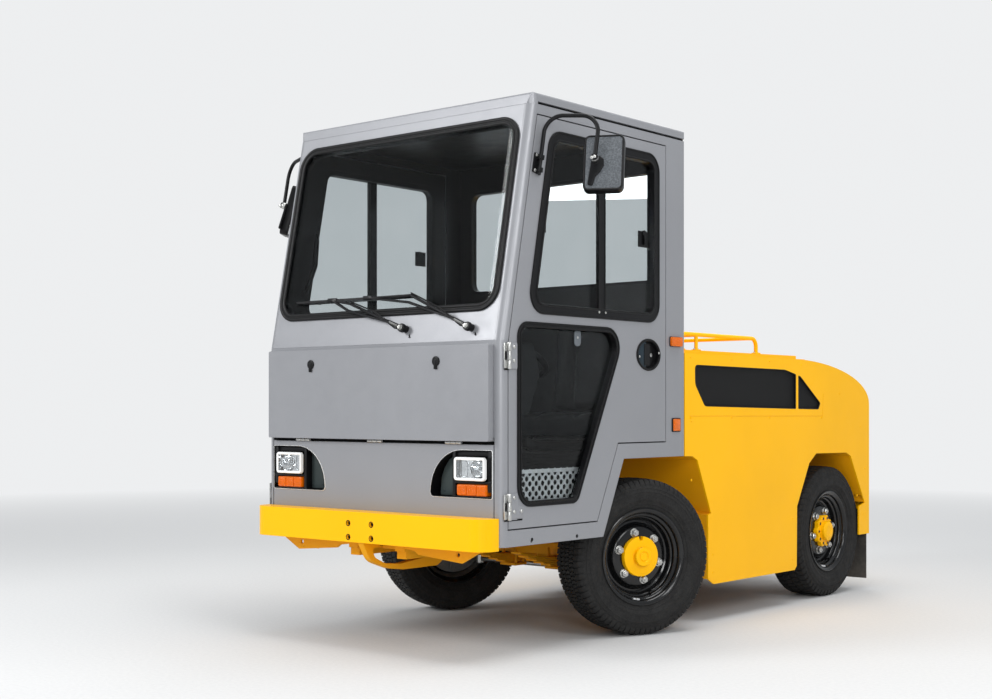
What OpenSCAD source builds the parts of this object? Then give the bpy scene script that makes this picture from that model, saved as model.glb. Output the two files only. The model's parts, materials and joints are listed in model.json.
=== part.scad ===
// Airport baggage tow tractor: closed cab with two doors, steered front axle, driven rear axle.
// Y = 0 in the working frame is the cab's flat front; the whole tractor is then moved so that
// the middle of its bounding box stands on the origin. +X is the tractor's left, -Y its front.

/* [Overall] */
// Width over the cab and the rear body
body_w = 1302; // [1240:2:1360]
// Distance from the front axle to the rear axle
wheelbase = 1620; // [1590:5:1650]
// Front axle behind the cab's flat front
front_axle_y = 1020; // [1010:1:1025]
// Tail of the body behind the rear axle
rear_overhang = 400; // [395:1:430]

/* [Wheels] */
// Outer diameter of a tyre, to the crests of its tread
tyre_d = 660; // [640:2:668]
// Width of a tyre
tyre_w = 205; // [185:1:210]
// Diameter over the rim flanges
rim_flange_d = 416; // [404:2:424]
// Distance from a kingpin to its wheel's centre plane
kingpin_offset = 95; // [90:1:105]
// Room between the rear tyres and the body's sheets
rear_tyre_room = 5.5; // [5:0.5:40]
// Circle of the wheel studs
stud_circle_d = 205; // [195:1:212]
// Number of wheel studs
stud_count = 6; // [5:1:8]
// Diameter of the front hub cap
front_cap_d = 170; // [140:2:178]
// Diameter of the rear hub flange
rear_cap_d = 165; // [140:1:175]

/* [Steering] */
// Distance between the kingpins
kingpin_track = 940; // [930:1:948]
// Angle at which the front wheels stand, to the tractor's right
parked_steer = 22; // [0:0.5:28]
// Length of the steering arms
arm_l = 118; // [100:1:120]
// Radius of a kingpin
kingpin_r = 14; // [10:0.5:18]

/* [Cab] */
// Height of the cab's lower edge
sill_z = 437; // [430:1:445]
// Height at which the front leans back
kink_z = 1210; // [1200:1:1225]
// Height of the roof's top
roof_z = 2162; // [2100:2:2220]
// Thickness of the roof
roof_t = 44; // [30:1:60]
// Lean of the windscreen from the vertical, in degrees
screen_lean = 11.2; // [9:0.1:13]
// Length of the cab
cab_l = 1239; // [1225:1:1242]
// Thickness of the cab's walls and doors
wall = 34; // [28:1:40]
// Radius of the cab's front corners
post_r = 36; // [20:1:45]
// Height of the cab's edge over the front wheel
arch_z = 748; // [745:1:760]
// Thickness of the cab's floor plates
floor_t = 25; // [15:1:30]

/* [Doors] */
// Front edge of the doors
door_front_y = 41; // [38:1:60]
// Width of the cab's rear posts
rear_post_w = 144.5; // [130:0.5:155]
// Lower edge of the doors
door_low_z = 504; // [490:1:520]
// Edge of the doors over the wheel
door_step_z = 815; // [800:1:830]
// Height of the cab's frame over the doors
door_head_h = 42; // [35:1:60]
// Gap round the doors
door_gap = 5; // [3:0.5:8]
// Radius of a door hinge's barrel
hinge_r = 8; // [6:0.5:10]
// Width of the black frame round a door window
window_frame_w = 40; // [30:1:60]

/* [Front] */
// Distance of the flap's ends from the cab's sides
flap_edge = 39; // [37:1:91]
// Depth of the front flap
flap_d = 30; // [20:1:45]
// Thickness of the flap's sheet
flap_t = 4; // [2:0.5:8]
// Lower edge of the flap
flap_low_z = 832; // [828:1:840]
// Upper edge of the flap
flap_top_z = 1196; // [1180:1:1200]
// Top of the lower front panel
panel_top_z = 819; // [810:1:820]
// Thickness of the lower front panel
panel_t = 16; // [10:1:20]

/* [Bumper] */
// Distance of the bumper's face from the cab's flat front
bumper_out = 94; // [80:1:120]
// Distance of the bumper's ends from the cab's sides
bumper_edge = 11; // [1:1:51]
// Lower edge of the bumper
bumper_low_z = 425; // [420:1:430]
// Upper edge of the bumper
bumper_top_z = 546; // [540:1:560]
// Thickness of the bumper's plate
bumper_t = 10; // [6:1:14]
// Spacing of the bumper's holes across
bumper_hole_x = 128; // [100:1:160]
// Spacing of the bumper's holes in height
bumper_hole_z = 55; // [45:1:65]
// Diameter of the bumper's holes
bumper_hole_d = 18; // [14:0.5:22]

/* [Body] */
// Height of the rear body's top
body_top_z = 1197; // [1180:1:1215]
// Lower edge of the rear body's sides
body_low_z = 167; // [150:1:200]
// Thickness of the rear body's sheet
sheet = 8; // [5:0.5:10]
// Length of the tail's curve
tail_curve_l = 840; // [700:5:860]
// Drop of the tail's curve
tail_curve_h = 217; // [150:1:260]
// Distance of the engine lid behind the cab
lid_gap = 61; // [40:1:90]
// Reach of the engine lid over the tail's curve
lid_lap = 137; // [100:1:160]
// Distance of the engine lid's edges from the body's sides
lid_edge = 51; // [41:1:91]
// Thickness of the engine lid
lid_t = 18; // [12:1:25]
// Radius of the luggage rail's tube
rail_r = 9.5; // [8:0.5:12]
// Height of the luggage rail over the lid
rail_h = 72; // [60:1:100]

/* [Frame] */
// Half distance between the outer faces of the frame rails
rail_half_w = 155; // [140:1:160]
// Width of a frame rail
rail_w = 50; // [40:1:60]
// Lower face of the frame rails
rail_low_z = 362; // [360:1:368]
// Height of a frame rail
rail_depth = 75; // [65:1:75]
// Rear axle tube's radius
axle_tube_r = 50; // [40:1:55]
// Half width of the engine
engine_half_w = 250; // [200:5:280]
// Length of the engine
engine_l = 590; // [450:5:650]
// Room between the engine and the lid
engine_room = 117; // [80:1:200]

/* [Tow coupling] */
// Depth of the coupling behind the tail
coupling_out = 150; // [120:1:180]
// Width of the coupling's plates
coupling_w = 150; // [120:1:180]
// Height of the lowest plate
coupling_low_z = 305; // [300:1:330]
// Pitch of the plates
coupling_pitch = 82; // [75:1:90]
// Thickness of a plate
coupling_plate_t = 16; // [12:1:20]
// Diameter of the coupling pin
coupling_pin_d = 28; // [22:1:32]

/* [Hidden] */
$fn = 48;

half_w = body_w / 2;
inner_x = half_w - wall;
flap_half_w = half_w - flap_edge;
bumper_half_w = half_w - bumper_edge;
lid_half_w = half_w - lid_edge;
rear_track = 2 * (half_w - sheet - rear_tyre_room) - tyre_w;
rear_axle_y = front_axle_y + wheelbase;
tail_y = rear_axle_y + rear_overhang;
mid_y = (tail_y + coupling_out - bumper_out) / 2;
axle_z = tyre_d / 2;
kingpin_x = kingpin_track / 2;
screen_slope = tan(screen_lean);
roof_low_z = roof_z - roof_t;
door_rear_y = cab_l - rear_post_w;
door_top_z = roof_low_z - door_head_h;
fit = 0.3;
pin_clear = 0.1;

// Flat tools

function unit(v) = v / norm(v);

// Outline with every edge moved outward by d; the points run anticlockwise.
function grow(p, d) = [for (i = [0 : len(p) - 1])
    let (n = len(p), a = p[(i + n - 1) % n], b = p[i], c = p[(i + 1) % n])
    let (u = unit(b - a), v = unit(c - b), m = [u[1], -u[0]], k = [v[1], -v[0]])
    b + d * (m + k) / (1 + m * k)];

// Outline with its corners turned into arcs; r is one radius for each corner.
function rounded(p, r, steps = 6) = [for (i = [0 : len(p) - 1])
    let (n = len(p), b = p[i], u = unit(p[(i + n - 1) % n] - b), v = unit(p[(i + 1) % n] - b))
    let (half = acos(u * v) / 2, reach = r[i] / tan(half))
    let (c = b + unit(u + v) * r[i] / sin(half), s = b + u * reach - c, e = b + v * reach - c)
    let (a0 = atan2(s[1], s[0]), turn = atan2(s[0] * e[1] - s[1] * e[0], s * e))
    for (k = [0 : steps]) c + r[i] * [cos(a0 + turn * k / steps), sin(a0 + turn * k / steps)]];

function all_corners(p, r) = [for (i = p) r];

function box_outline(x0, z0, x1, z1) = [[x0, z0], [x1, z0], [x1, z1], [x0, z1]];

// Solids from flat outlines

// Outline in Y and Z, spread along X from x0
module along_x(x0, t) {
    translate([x0, 0, 0]) rotate([90, 0, 90]) linear_extrude(t) children();
}

// Outline in X and Z, spread along Y from y0
module along_y(y0, t) {
    translate([0, y0 + t, 0]) rotate([90, 0, 0]) linear_extrude(t) children();
}

// Box between two corners
module block(a, b) {
    translate(a) cube(b - a);
}

module x_rod(x0, x1, y, z, r) {
    translate([x0, y, z]) rotate([0, 90, 0]) cylinder(r = r, h = x1 - x0);
}

// Straight round rod between two points
module rod(a, b, r) {
    d = b - a;
    turn = atan2(d[1], d[0]);
    tilt = acos(d[2] / norm(d));
    translate(a) rotate([0, tilt, turn]) cylinder(r = r, h = norm(d));
}

// How far a bend of radius bend_r starts before the corner at b
function bend_reach(a, b, c, bend_r) = bend_r * tan(acos(unit(b - a) * unit(c - b)) / 2);

// Round tube through a list of points, with a bend at each inner one
module bent_tube(points, bend_r, r) {
    last = len(points) - 1;
    function reach(i) = i == 0 || i == last ? 0
        : bend_reach(points[i - 1], points[i], points[i + 1], bend_r);
    for (i = [0 : last - 1]) {
        u = unit(points[i + 1] - points[i]);
        rod(points[i] + u * reach(i), points[i + 1] - u * reach(i + 1), r);
    }
    for (i = [1 : last - 1]) {
        u = unit(points[i] - points[i - 1]);
        v = unit(points[i + 1] - points[i]);
        n = unit(v - (u * v) * u);
        z = cross(u, n);
        c = points[i] - u * reach(i) + n * bend_r;
        multmatrix([[-n[0], u[0], z[0], c[0]], [-n[1], u[1], z[1], c[1]],
            [-n[2], u[2], z[2], c[2]], [0, 0, 0, 1]])
            rotate_extrude(angle = acos(u * v)) translate([bend_r, 0]) circle(r = r);
    }
}

module both() {
    children();
    mirror([1, 0, 0]) children();
}

module on_side(s) {
    if (s > 0) children();
    else mirror([1, 0, 0]) children();
}

module home() {
    translate([0, -mid_y, 0]) children();
}

// Turns to the windscreen's plane: Z runs up the glass and -Y points out of it.
module on_screen() {
    translate([0, 0, kink_z]) rotate([-screen_lean, 0, 0]) children();
}

function screen_y(z) = z > kink_z ? (z - kink_z) * screen_slope : 0;

// Cab

arch_low_y = front_axle_y - 378;
arch_high_y = front_axle_y - 234;
cab_outline = [[0, sill_z], [arch_low_y, sill_z], [arch_high_y, arch_z], [cab_l, arch_z],
    [cab_l, roof_low_z], [screen_y(roof_low_z), roof_low_z], [0, kink_z]];

door_step_y = arch_low_y - 42;
door_step_slope = (arch_high_y - arch_low_y) / (arch_z - sill_z);
door_high_y = door_step_y + (door_step_z - door_low_z) * door_step_slope;
door_kink_z = kink_z - 12;
door_outline = [[door_front_y, door_low_z], [door_step_y, door_low_z], [door_high_y, door_step_z],
    [door_rear_y, door_step_z], [door_rear_y, door_top_z],
    [door_front_y + (door_top_z - door_kink_z) * screen_slope, door_top_z],
    [door_front_y, door_kink_z]];

// Space inside the cab's rounded front corners
module cab_corner_form() {
    r = post_r;
    module corner_block(z0, z1) {
        difference() {
            block([0, 0, z0], [half_w, cab_l + 500, z1]);
            block([half_w - r, -1, z0 - 1], [half_w + 1, r, z1 + 1]);
        }
        translate([half_w - r, r, z0]) cylinder(r = r, h = z1 - z0);
    }
    corner_block(sill_z - 10, kink_z);
    intersection() {
        on_screen() corner_block(-100, roof_z - kink_z + 200);
        block([0, -10, kink_z], [half_w, cab_l + 10, roof_z]);
    }
}

module cab_side(s) {
    marker_hole_y = [178, 464];
    color("silver") home() on_side(s) intersection() {
        difference() {
            along_x(inner_x, wall) polygon(cab_outline);
            along_x(inner_x - 1, wall + 2) polygon(grow(door_outline, door_gap));
            for (y = marker_hole_y) x_rod(inner_x - 1, half_w + 1, y, sill_z + 15, 6);
        }
        cab_corner_form();
    }
}

module cab_side_left() { cab_side(1); hinge_posts(1); }

module cab_side_right() { cab_side(-1); hinge_posts(-1); }

hinge_z = [588, 1152];
hinge_h = 98;
hinge_leaf_t = 5;
hinge_y = door_front_y - 5;
hinge_x = half_w + hinge_r;

// Middle barrel of each hinge, welded to the post
module hinge_posts(s) {
    color("silver") home() on_side(s) for (z = hinge_z) {
        translate([hinge_x, hinge_y, z - hinge_h / 6]) cylinder(r = hinge_r, h = hinge_h / 3);
        block([half_w - 4, 14, z - hinge_h / 6], [half_w + hinge_leaf_t, hinge_y, z + hinge_h / 6]);
    }
}

hatch_half_w = flap_half_w - 52;
hatch_low_z = 872;
hatch_top_z = 1160;
hatch_d = 120;
hatch_wall = 12;

bezel_outer_x = flap_half_w;
bezel_inner_x = bezel_outer_x - 319;
bezel_low_z = 617;
bezel_top_z = 798;
// Recess round the left headlamp, with one quarter round corner
lamp_recess = rounded([[bezel_inner_x, bezel_low_z], [bezel_outer_x - 4, bezel_low_z],
    [bezel_outer_x - 4, bezel_top_z], [bezel_inner_x + 20, bezel_top_z]], [18, 8, 8, 160]);

module cab_front() {
    plate_y = panel_t + fit;
    color("silver") home() {
        difference() {
            union() {
                block([-inner_x, plate_y, sill_z], [inner_x, wall, kink_z - 15]);
                block([-inner_x, 0, flap_top_z + 3], [inner_x, wall, kink_z]);
                block([-inner_x, 0, flap_low_z + 14], [inner_x, wall, flap_top_z + 3]);
            }
            along_y(-1, wall + 2) both() polygon(grow(lamp_recess, fit));
            block([-hatch_half_w, -1, hatch_low_z], [hatch_half_w, wall + 1, hatch_top_z]);
        }
        difference() {
            block([-hatch_half_w - hatch_wall, wall, hatch_low_z - hatch_wall],
                [hatch_half_w + hatch_wall, wall + hatch_d, hatch_top_z + hatch_wall]);
            block([-hatch_half_w, wall - 1, hatch_low_z],
                [hatch_half_w, wall + hatch_d - hatch_wall, hatch_top_z]);
        }
        flap_hinge_lugs();
    }
}

flap_axis_y = -8;
flap_axis_z = (panel_top_z + flap_low_z) / 2;
flap_knuckle_r = 5;
flap_hinge_x = [192 - flap_half_w, 0, flap_half_w - 192];
flap_latch_x = flap_half_w - 262;
flap_latch_z = flap_top_z - 60;
flap_lug_w = 26;

// Fixed knuckles of the flap's hinge, reaching out over the lower panel
module flap_hinge_lugs() {
    for (x = flap_hinge_x) {
        x_rod(x - flap_lug_w / 2, x + flap_lug_w / 2, flap_axis_y, flap_axis_z, flap_knuckle_r);
        block([x - flap_lug_w / 2, flap_axis_y, flap_axis_z - 3],
            [x + flap_lug_w / 2, panel_t + 1, flap_axis_z + 3]);
    }
}

module front_flap() {
    w = flap_half_w;
    out = flap_d;
    color("silver") home() {
        difference() {
            along_y(-out, out - fit) polygon(rounded(box_outline(-w, flap_low_z, w, flap_top_z),
                [6, 6, 6, 6], 3));
            block([flap_t - w, flap_t - out, flap_low_z + flap_t], [w - flap_t, 1, flap_top_z - flap_t]);
        }
        for (x = flap_hinge_x) for (s = [-1, 1]) {
            x0 = x + s * (flap_lug_w + 1) - flap_lug_w / 2;
            x_rod(x0, x0 + flap_lug_w, flap_axis_y, flap_axis_z, flap_knuckle_r);
            block([x0, flap_axis_y - 2, flap_axis_z], [x0 + flap_lug_w, flap_axis_y + 2, flap_low_z + 2]);
        }
    }
    color("black") home() for (x = [-flap_latch_x, flap_latch_x]) translate([x, -out, flap_latch_z]) rotate([90, 0, 0]) {
        cylinder(r = 17, h = 4);
        translate([-7, -30, 0]) cube([14, 30, 6]);
    }
}

module front_panel() {
    w = flap_half_w;
    color("silver") home() difference() {
        along_y(0, panel_t) polygon(box_outline(-w, sill_z + 70, w, panel_top_z));
        along_y(-1, panel_t + 2) both() polygon(grow(lamp_recess, fit));
    }
}

recess_d = 70;
recess_wall = 3;
recess_lip = 3;
recess_back_y = recess_d - recess_lip - recess_wall;

module lamp_bezels() {
    color("black") home() both() difference() {
        along_y(-recess_lip, recess_d) polygon(lamp_recess);
        along_y(-recess_lip - 1, recess_d - recess_wall + 1) polygon(grow(lamp_recess, -recess_wall));
    }
}

lamp_x = [bezel_outer_x - 185, bezel_outer_x - 32];
head_z = [683, 771];
turn_z = [626, 668];
lamp_face_y = -12;
turn_face_y = -2;
lens_t = 6;

module headlamps() {
    color("silver") home() both() difference() {
        along_y(lamp_face_y + lens_t, recess_back_y - lamp_face_y - lens_t) polygon(rounded(
            box_outline(lamp_x[0], head_z[0], lamp_x[1], head_z[1]), [12, 12, 12, 12], 4));
        along_y(lamp_face_y, 40) polygon(rounded(
            box_outline(lamp_x[0] + 4, head_z[0] + 4, lamp_x[1] - 4, head_z[1] - 4), [9, 9, 9, 9], 4));
    }
    color("silver") home() both() {
        x_mid = (lamp_x[0] + lamp_x[1]) / 2;
        z_mid = (head_z[0] + head_z[1]) / 2;
        translate([x_mid, lamp_face_y + 47, z_mid]) rotate([90, 0, 0]) cylinder(r1 = 30, r2 = 10, h = 16);
    }
}

module headlamp_lenses() {
    color("white") home() both() along_y(lamp_face_y, lens_t - fit) polygon(rounded(
        box_outline(lamp_x[0], head_z[0], lamp_x[1], head_z[1]), [12, 12, 12, 12], 4));
}

module amber_lamps() {
    color("orange") home() both() {
        along_y(turn_face_y, recess_back_y - turn_face_y) polygon(rounded(
            box_outline(lamp_x[0] + 6, turn_z[0], lamp_x[1] + 2, turn_z[1]), [6, 6, 6, 6], 3));
        along_x(half_w, 14) polygon(rounded(
            box_outline(cab_l - 113, kink_z + 13, cab_l - 30, kink_z + 53), [8, 8, 8, 8], 3));
        along_x(half_w, 6) polygon(rounded(
            box_outline(cab_l - 92, arch_z + 110, cab_l - 36, arch_z + 162), [4, 4, 4, 4], 3));
    }
}

screen_h = (roof_low_z - kink_z) / cos(screen_lean);
screen_half_w = half_w - 39;
screen_outer = rounded(box_outline(-screen_half_w, 115, screen_half_w, screen_h - 43.6),
    [95, 95, 95, 95], 8);
rear_window = rounded(box_outline(76 - half_w, body_top_z + 293, half_w - 76, roof_low_z - 98),
    [70, 70, 70, 70], 8);
seal_w = 30;
seal_lap = 14;
glass_t = 6;

module windscreen_frame() {
    color("silver") home() intersection() {
        on_screen() difference() {
            along_y(0, wall) polygon(box_outline(-inner_x, -60, inner_x, screen_h + 60));
            along_y(-1, wall + 2) polygon(grow(screen_outer, -seal_lap));
        }
        block([-inner_x, 0, kink_z + fit], [inner_x, cab_l, roof_low_z]);
    }
}

module cab_rear_wall() {
    color("silver") home() difference() {
        block([-inner_x, cab_l - wall, arch_z], [inner_x, cab_l, roof_low_z]);
        along_y(cab_l - wall - 1, wall + 2) polygon(grow(rear_window, -seal_lap));
    }
}

// Rubber ring on both faces of a window's opening, standing out by the lip
module window_seal(outline, t, lip) {
    along_y(-lip, lip) difference() {
        polygon(outline);
        polygon(grow(outline, -seal_w));
    }
    along_y(0, t) difference() {
        polygon(grow(outline, -seal_lap - fit));
        polygon(grow(outline, -seal_w));
    }
}

module cab_seals() {
    color("dimgray") home() {
        on_screen() window_seal(screen_outer, wall, 5);
        translate([0, cab_l, 0]) mirror([0, 1, 0]) window_seal(rear_window, wall, 5);
    }
}

module cab_glass() {
    color("lightblue") home() {
        on_screen() along_y(2, glass_t) polygon(grow(screen_outer, -seal_w));
        along_y(cab_l - 14, glass_t) polygon(grow(rear_window, -seal_w));
    }
}

module roof() {
    edge = 10;
    overhang = 9;
    groove_h = 10;
    groove_d = 12;
    front_y = screen_y(roof_low_z) + 2;
    rear_y = cab_l + overhang;
    color("silver") home() difference() {
        intersection() {
            translate([0, 0, roof_low_z]) linear_extrude(roof_t) polygon(rounded(
                box_outline(-half_w, front_y, half_w, rear_y), [post_r, post_r, 12, 12]));
            along_y(front_y, cab_l) polygon(rounded(
                box_outline(-half_w, roof_low_z, half_w, roof_z), [2, 2, edge, edge], 4));
            along_x(-half_w, body_w) polygon(rounded([[front_y, roof_low_z], [rear_y, roof_low_z],
                [rear_y, roof_z], [front_y + roof_t * screen_slope, roof_z]], [2, 2, edge, edge], 4));
        }
        both() block([half_w - groove_d, front_y + post_r, roof_low_z - 1],
            [half_w + 1, rear_y + 1, roof_low_z + groove_h]);
    }
}

floor_end_y = arch_low_y - floor_t;

module cab_floor() {
    step = (arch_high_y - arch_low_y) / (arch_z - sill_z);
    top = arch_z + floor_t;
    color("gray") home() along_x(-inner_x, 2 * inner_x) polygon([[wall, sill_z], [arch_low_y, sill_z],
        [arch_high_y, arch_z], [cab_l - wall, arch_z], [cab_l - wall, top],
        [arch_high_y - floor_t + floor_t * step, top], [floor_end_y + floor_t * step, sill_z + floor_t],
        [wall, sill_z + floor_t]]);
}

dash_y = wall + hatch_d;

driver_x = half_w - 381;
wheel_y = 465;
wheel_z = 1165;
wheel_tilt = 25;
column_r = 24;

// Moves to the steering wheel's centre, with Z along the column towards the driver
module on_column() {
    translate([driver_x, wheel_y, wheel_z]) rotate([-wheel_tilt, 0, 0]) children();
}

module dashboard() {
    back = dash_y + fit;
    pod_w = 150;
    color("dimgray") home() {
        along_x(-inner_x + 8, 2 * (inner_x - 8)) polygon(rounded([
            [wall + 2, kink_z - 16], [back, kink_z - 16], [back, 920], [dash_y + 60, 940],
            [dash_y + 125, 1090], [dash_y + 85, kink_z - 2], [wall + 2, kink_z - 2]],
            [1, 1, 10, 20, 30, 20, 1]));
        difference() {
            along_x(driver_x - pod_w / 2, pod_w) polygon(rounded([[230, 1000], [330, 965], [400, 990],
                [462, 1090], [400, 1120], [240, 1150]], [5, 20, 30, 20, 20, 5]));
            on_column() translate([0, 0, -400]) cylinder(r = column_r + fit, h = 500);
        }
    }
}

module steering_wheel() {
    color("dimgray") home() on_column() {
        rotate_extrude() translate([180, 0]) circle(r = 14);
        for (a = [90, 210, 330]) rotate([0, 0, a]) rod([30, 0, -20], [172, 0, 0], 8);
        translate([0, 0, -40]) cylinder(r = 36, h = 40);
        translate([0, 0, -240]) cylinder(r = column_r, h = 202);
    }
}

module seat() {
    deck = arch_z + floor_t;
    seat_w = 460;
    x0 = driver_x - seat_w / 2;
    rear = cab_l - wall - 10;
    color("dimgray") home() {
        block([x0 + 60, rear - 365, deck], [x0 + seat_w - 60, rear - 75, deck + 60]);
        translate([x0, 0, 0]) along_x(0, seat_w) polygon(rounded([[rear - 405, deck + 60],
            [rear - 45, deck + 60], [rear - 45, deck + 150], [rear - 110, deck + 150],
            [rear - 405, deck + 165]], [20, 20, 20, 10, 45]));
        translate([x0 + 10, 0, 0]) along_x(0, seat_w - 20) polygon(rounded([
            [rear - 115, deck + 150 + fit], [rear - 35, deck + 150 + fit], [rear, deck + 640],
            [rear - 75, deck + 640]], [10, 10, 36, 36]));
    }
}

module wipers() {
    pivots = [[154, 57], [496, 51]];
    elbows = [[-158, 169], [176, 189]];
    blades = [[-485, -55], [-294, 167]];
    blade_z = 188;
    color("black") home() on_screen() for (i = [0, 1]) {
        p = pivots[i];
        e = elbows[i];
        translate([p[0], 0, p[1]]) rotate([90, 0, 0]) cylinder(r = 15, h = 34);
        rod([p[0], -28, p[1]], [e[0], -22, e[1]], 6);
        rod([e[0], -22, e[1]], [(blades[i][0] + blades[i][1]) / 2, -22, blade_z], 5);
        block([blades[i][0], -24, blade_z - 5], [blades[i][1], 2 - fit, blade_z + 5]);
    }
}

// Doors

upper_low_z = kink_z + 106;
upper_top_z = door_top_z - 44;
upper_front_y = door_front_y + 109;
upper_rear_y = door_rear_y - 51.5;
upper_window = rounded([[upper_front_y, upper_low_z], [upper_rear_y, upper_low_z],
    [upper_rear_y, upper_top_z],
    [upper_front_y + (upper_top_z - upper_low_z) * screen_slope, upper_top_z]], [80, 80, 80, 80], 8);
lower_low_z = door_low_z + 78;
lower_top_z = upper_low_z - 31;
lower_front_y = door_front_y + 50;
lower_window = rounded([[lower_front_y, lower_low_z], [door_step_y - 136, lower_low_z],
    [door_rear_y - 293.5, lower_top_z], [lower_front_y, lower_top_z]], [80, 50, 85, 60], 8);
mullion_y = (upper_front_y + upper_rear_y) / 2 + 31.5;
mullion_w = 40;
trim_lap = 15;
trim_lip = 4;
rubber_w = 22;
handle_y = door_rear_y - 132.5;
handle_z = kink_z - 29;
handle_half_w = 86;
handle_half_h = 66;

// Outline of the handle's cup
function cup_outline(inset) = [for (a = [0 : 10 : 350]) [handle_y + (handle_half_w - inset) * cos(a),
    handle_z + (handle_half_h - inset) * sin(a)]];

module door(s) {
    color("silver") home() on_side(s) {
        difference() {
            along_x(inner_x, wall) polygon(door_outline);
            along_x(inner_x - 1, wall + 2) polygon(grow(upper_window, -trim_lap));
            along_x(inner_x - 1, wall + 2) polygon(grow(lower_window, -trim_lap));
            along_x(half_w - 20, 21) polygon(cup_outline(0));
        }
        for (z = hinge_z) for (e = [-1, 1]) {
            z0 = z + e * (hinge_h / 3 + 1) - hinge_h / 6;
            translate([hinge_x, hinge_y, z0]) cylinder(r = hinge_r, h = hinge_h / 3);
            block([half_w, hinge_y + 2, z0], [half_w + hinge_leaf_t, hinge_y + 50, z0 + hinge_h / 3]);
        }
    }
}

// Black frame round an opening: a lip outside the door and a lining through it
module side_frame(outline, w) {
    along_x(half_w, trim_lip) difference() {
        polygon(outline);
        polygon(grow(outline, -w));
    }
    along_x(inner_x, wall) difference() {
        polygon(grow(outline, -trim_lap - fit));
        polygon(grow(outline, -w));
    }
}

module door_trim(s) {
    color("black") home() on_side(s) {
        side_frame(upper_window, window_frame_w);
        side_frame(lower_window, rubber_w);
        along_x(half_w - 12, 12 + trim_lip) polygon(box_outline(mullion_y - mullion_w / 2,
            upper_low_z + window_frame_w, mullion_y + mullion_w / 2, upper_top_z - window_frame_w));
        difference() {
            along_x(half_w - 19, 22) polygon(cup_outline(fit));
            along_x(half_w - 15, 19) polygon(cup_outline(8));
        }
        block([half_w - 16, handle_y - 22, handle_z - 45], [half_w - 3, handle_y + 18, handle_z + 45]);
    }
}

module door_glass(s) {
    x0 = half_w - 20;
    color("lightblue") home() on_side(s) {
        along_x(x0, 5) polygon(grow(upper_window, -window_frame_w));
        along_x(x0, 5) polygon(grow(lower_window, -rubber_w));
    }
}

module mirror_arm(s) {
    foot_y = 210;
    foot_z = 1888;
    foot_h = 38;
    stem_out = 16;
    tube_r = 8;
    reach = 214;
    swing = 20.5;
    arm_h = 192;
    clamp_z = s > 0 ? 24 : -2;
    head_turn = s > 0 ? 28.5 : 52.25;
    head_lean = 16;
    head_w = 152;
    head_h = 226;
    head_t = 36;
    head_x = s > 0 ? 32 : 70;
    ball_r = 13;
    ball = [half_w + stem_out + reach * cos(swing),
        foot_y + reach * sin(swing) * cos(screen_lean) + clamp_z * sin(screen_lean),
        foot_z - reach * sin(swing) * sin(screen_lean) + clamp_z * cos(screen_lean)];
    color("black") home() on_side(s) {
        translate([half_w, foot_y, foot_z]) rotate([-screen_lean, 0, 0]) {
            block([0, -24, -foot_h], [6, 24, foot_h]);
            for (z = [-34, 16]) block([5, -10, z], [stem_out + 10, 10, z + 18]);
            translate([stem_out, 0, 0]) rotate([0, 0, swing]) bent_tube([[0, 0, -foot_h - 4],
                [0, 0, arm_h], [reach, 0, arm_h], [reach, 0, clamp_z - 12]], 70, tube_r);
        }
        translate(ball) rotate([0, 0, head_turn]) rotate([-head_lean, 0, 0]) {
            rotate([-90, 0, 0]) translate([0, 0, -14]) cylinder(r = ball_r, h = 30);
            translate([head_x, 0, -12]) along_y(14, head_t) polygon(rounded(box_outline(-head_w / 2,
                -head_h / 2, head_w / 2, head_h / 2), [22, 22, 22, 22], 5));
        }
    }
}

module door_left() { door(1); }

module door_left_trim() { door_trim(1); }

module door_left_glass() { door_glass(1); }

module mirror_left() { mirror_arm(1); }

module door_right() { door(-1); }

module door_right_trim() { door_trim(-1); }

module door_right_glass() { door_glass(-1); }

module mirror_right() { mirror_arm(-1); }

// Bumper

module front_bumper() {
    r = 70;
    w = bumper_half_w;
    outer = rounded([[-w, -bumper_out], [w, -bumper_out], [w, -fit - 1], [-w, -fit - 1]], [r, r, 1, 1], 8);
    cavity = rounded([[-w + bumper_t, bumper_t - bumper_out], [w - bumper_t, bumper_t - bumper_out],
        [w - bumper_t, 20], [-w + bumper_t, 20]], [r - bumper_t, r - bumper_t, 1, 1], 8);
    mid_z = (bumper_low_z + bumper_top_z) / 2 - 13;
    color("gold") home() difference() {
        translate([0, 0, bumper_low_z]) linear_extrude(bumper_top_z - bumper_low_z) polygon(outer);
        translate([0, 0, bumper_low_z + bumper_t])
            linear_extrude(bumper_top_z - bumper_low_z - 2 * bumper_t) polygon(cavity);
        for (x = [-1, 1]) for (z = [-1, 1])
            translate([x * bumper_hole_x / 2, -bumper_out - 1, mid_z + z * bumper_hole_z / 2])
                rotate([-90, 0, 0]) cylinder(d = bumper_hole_d, h = bumper_t + 2);
    }
}

// Rear body

tail_start_y = tail_y - tail_curve_l;
lid_front_y = cab_l + lid_gap;
lid_rear_y = tail_start_y + lid_lap;

// Quarter of an ellipse from the tail back to the flat top
function tail_curve(inset, steps = 16) = [for (k = [0 : steps]) let (a = 90 * k / steps)
    [tail_start_y + (tail_curve_l - inset) * cos(a),
    body_top_z - tail_curve_h + (tail_curve_h - inset) * sin(a)]];

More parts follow.
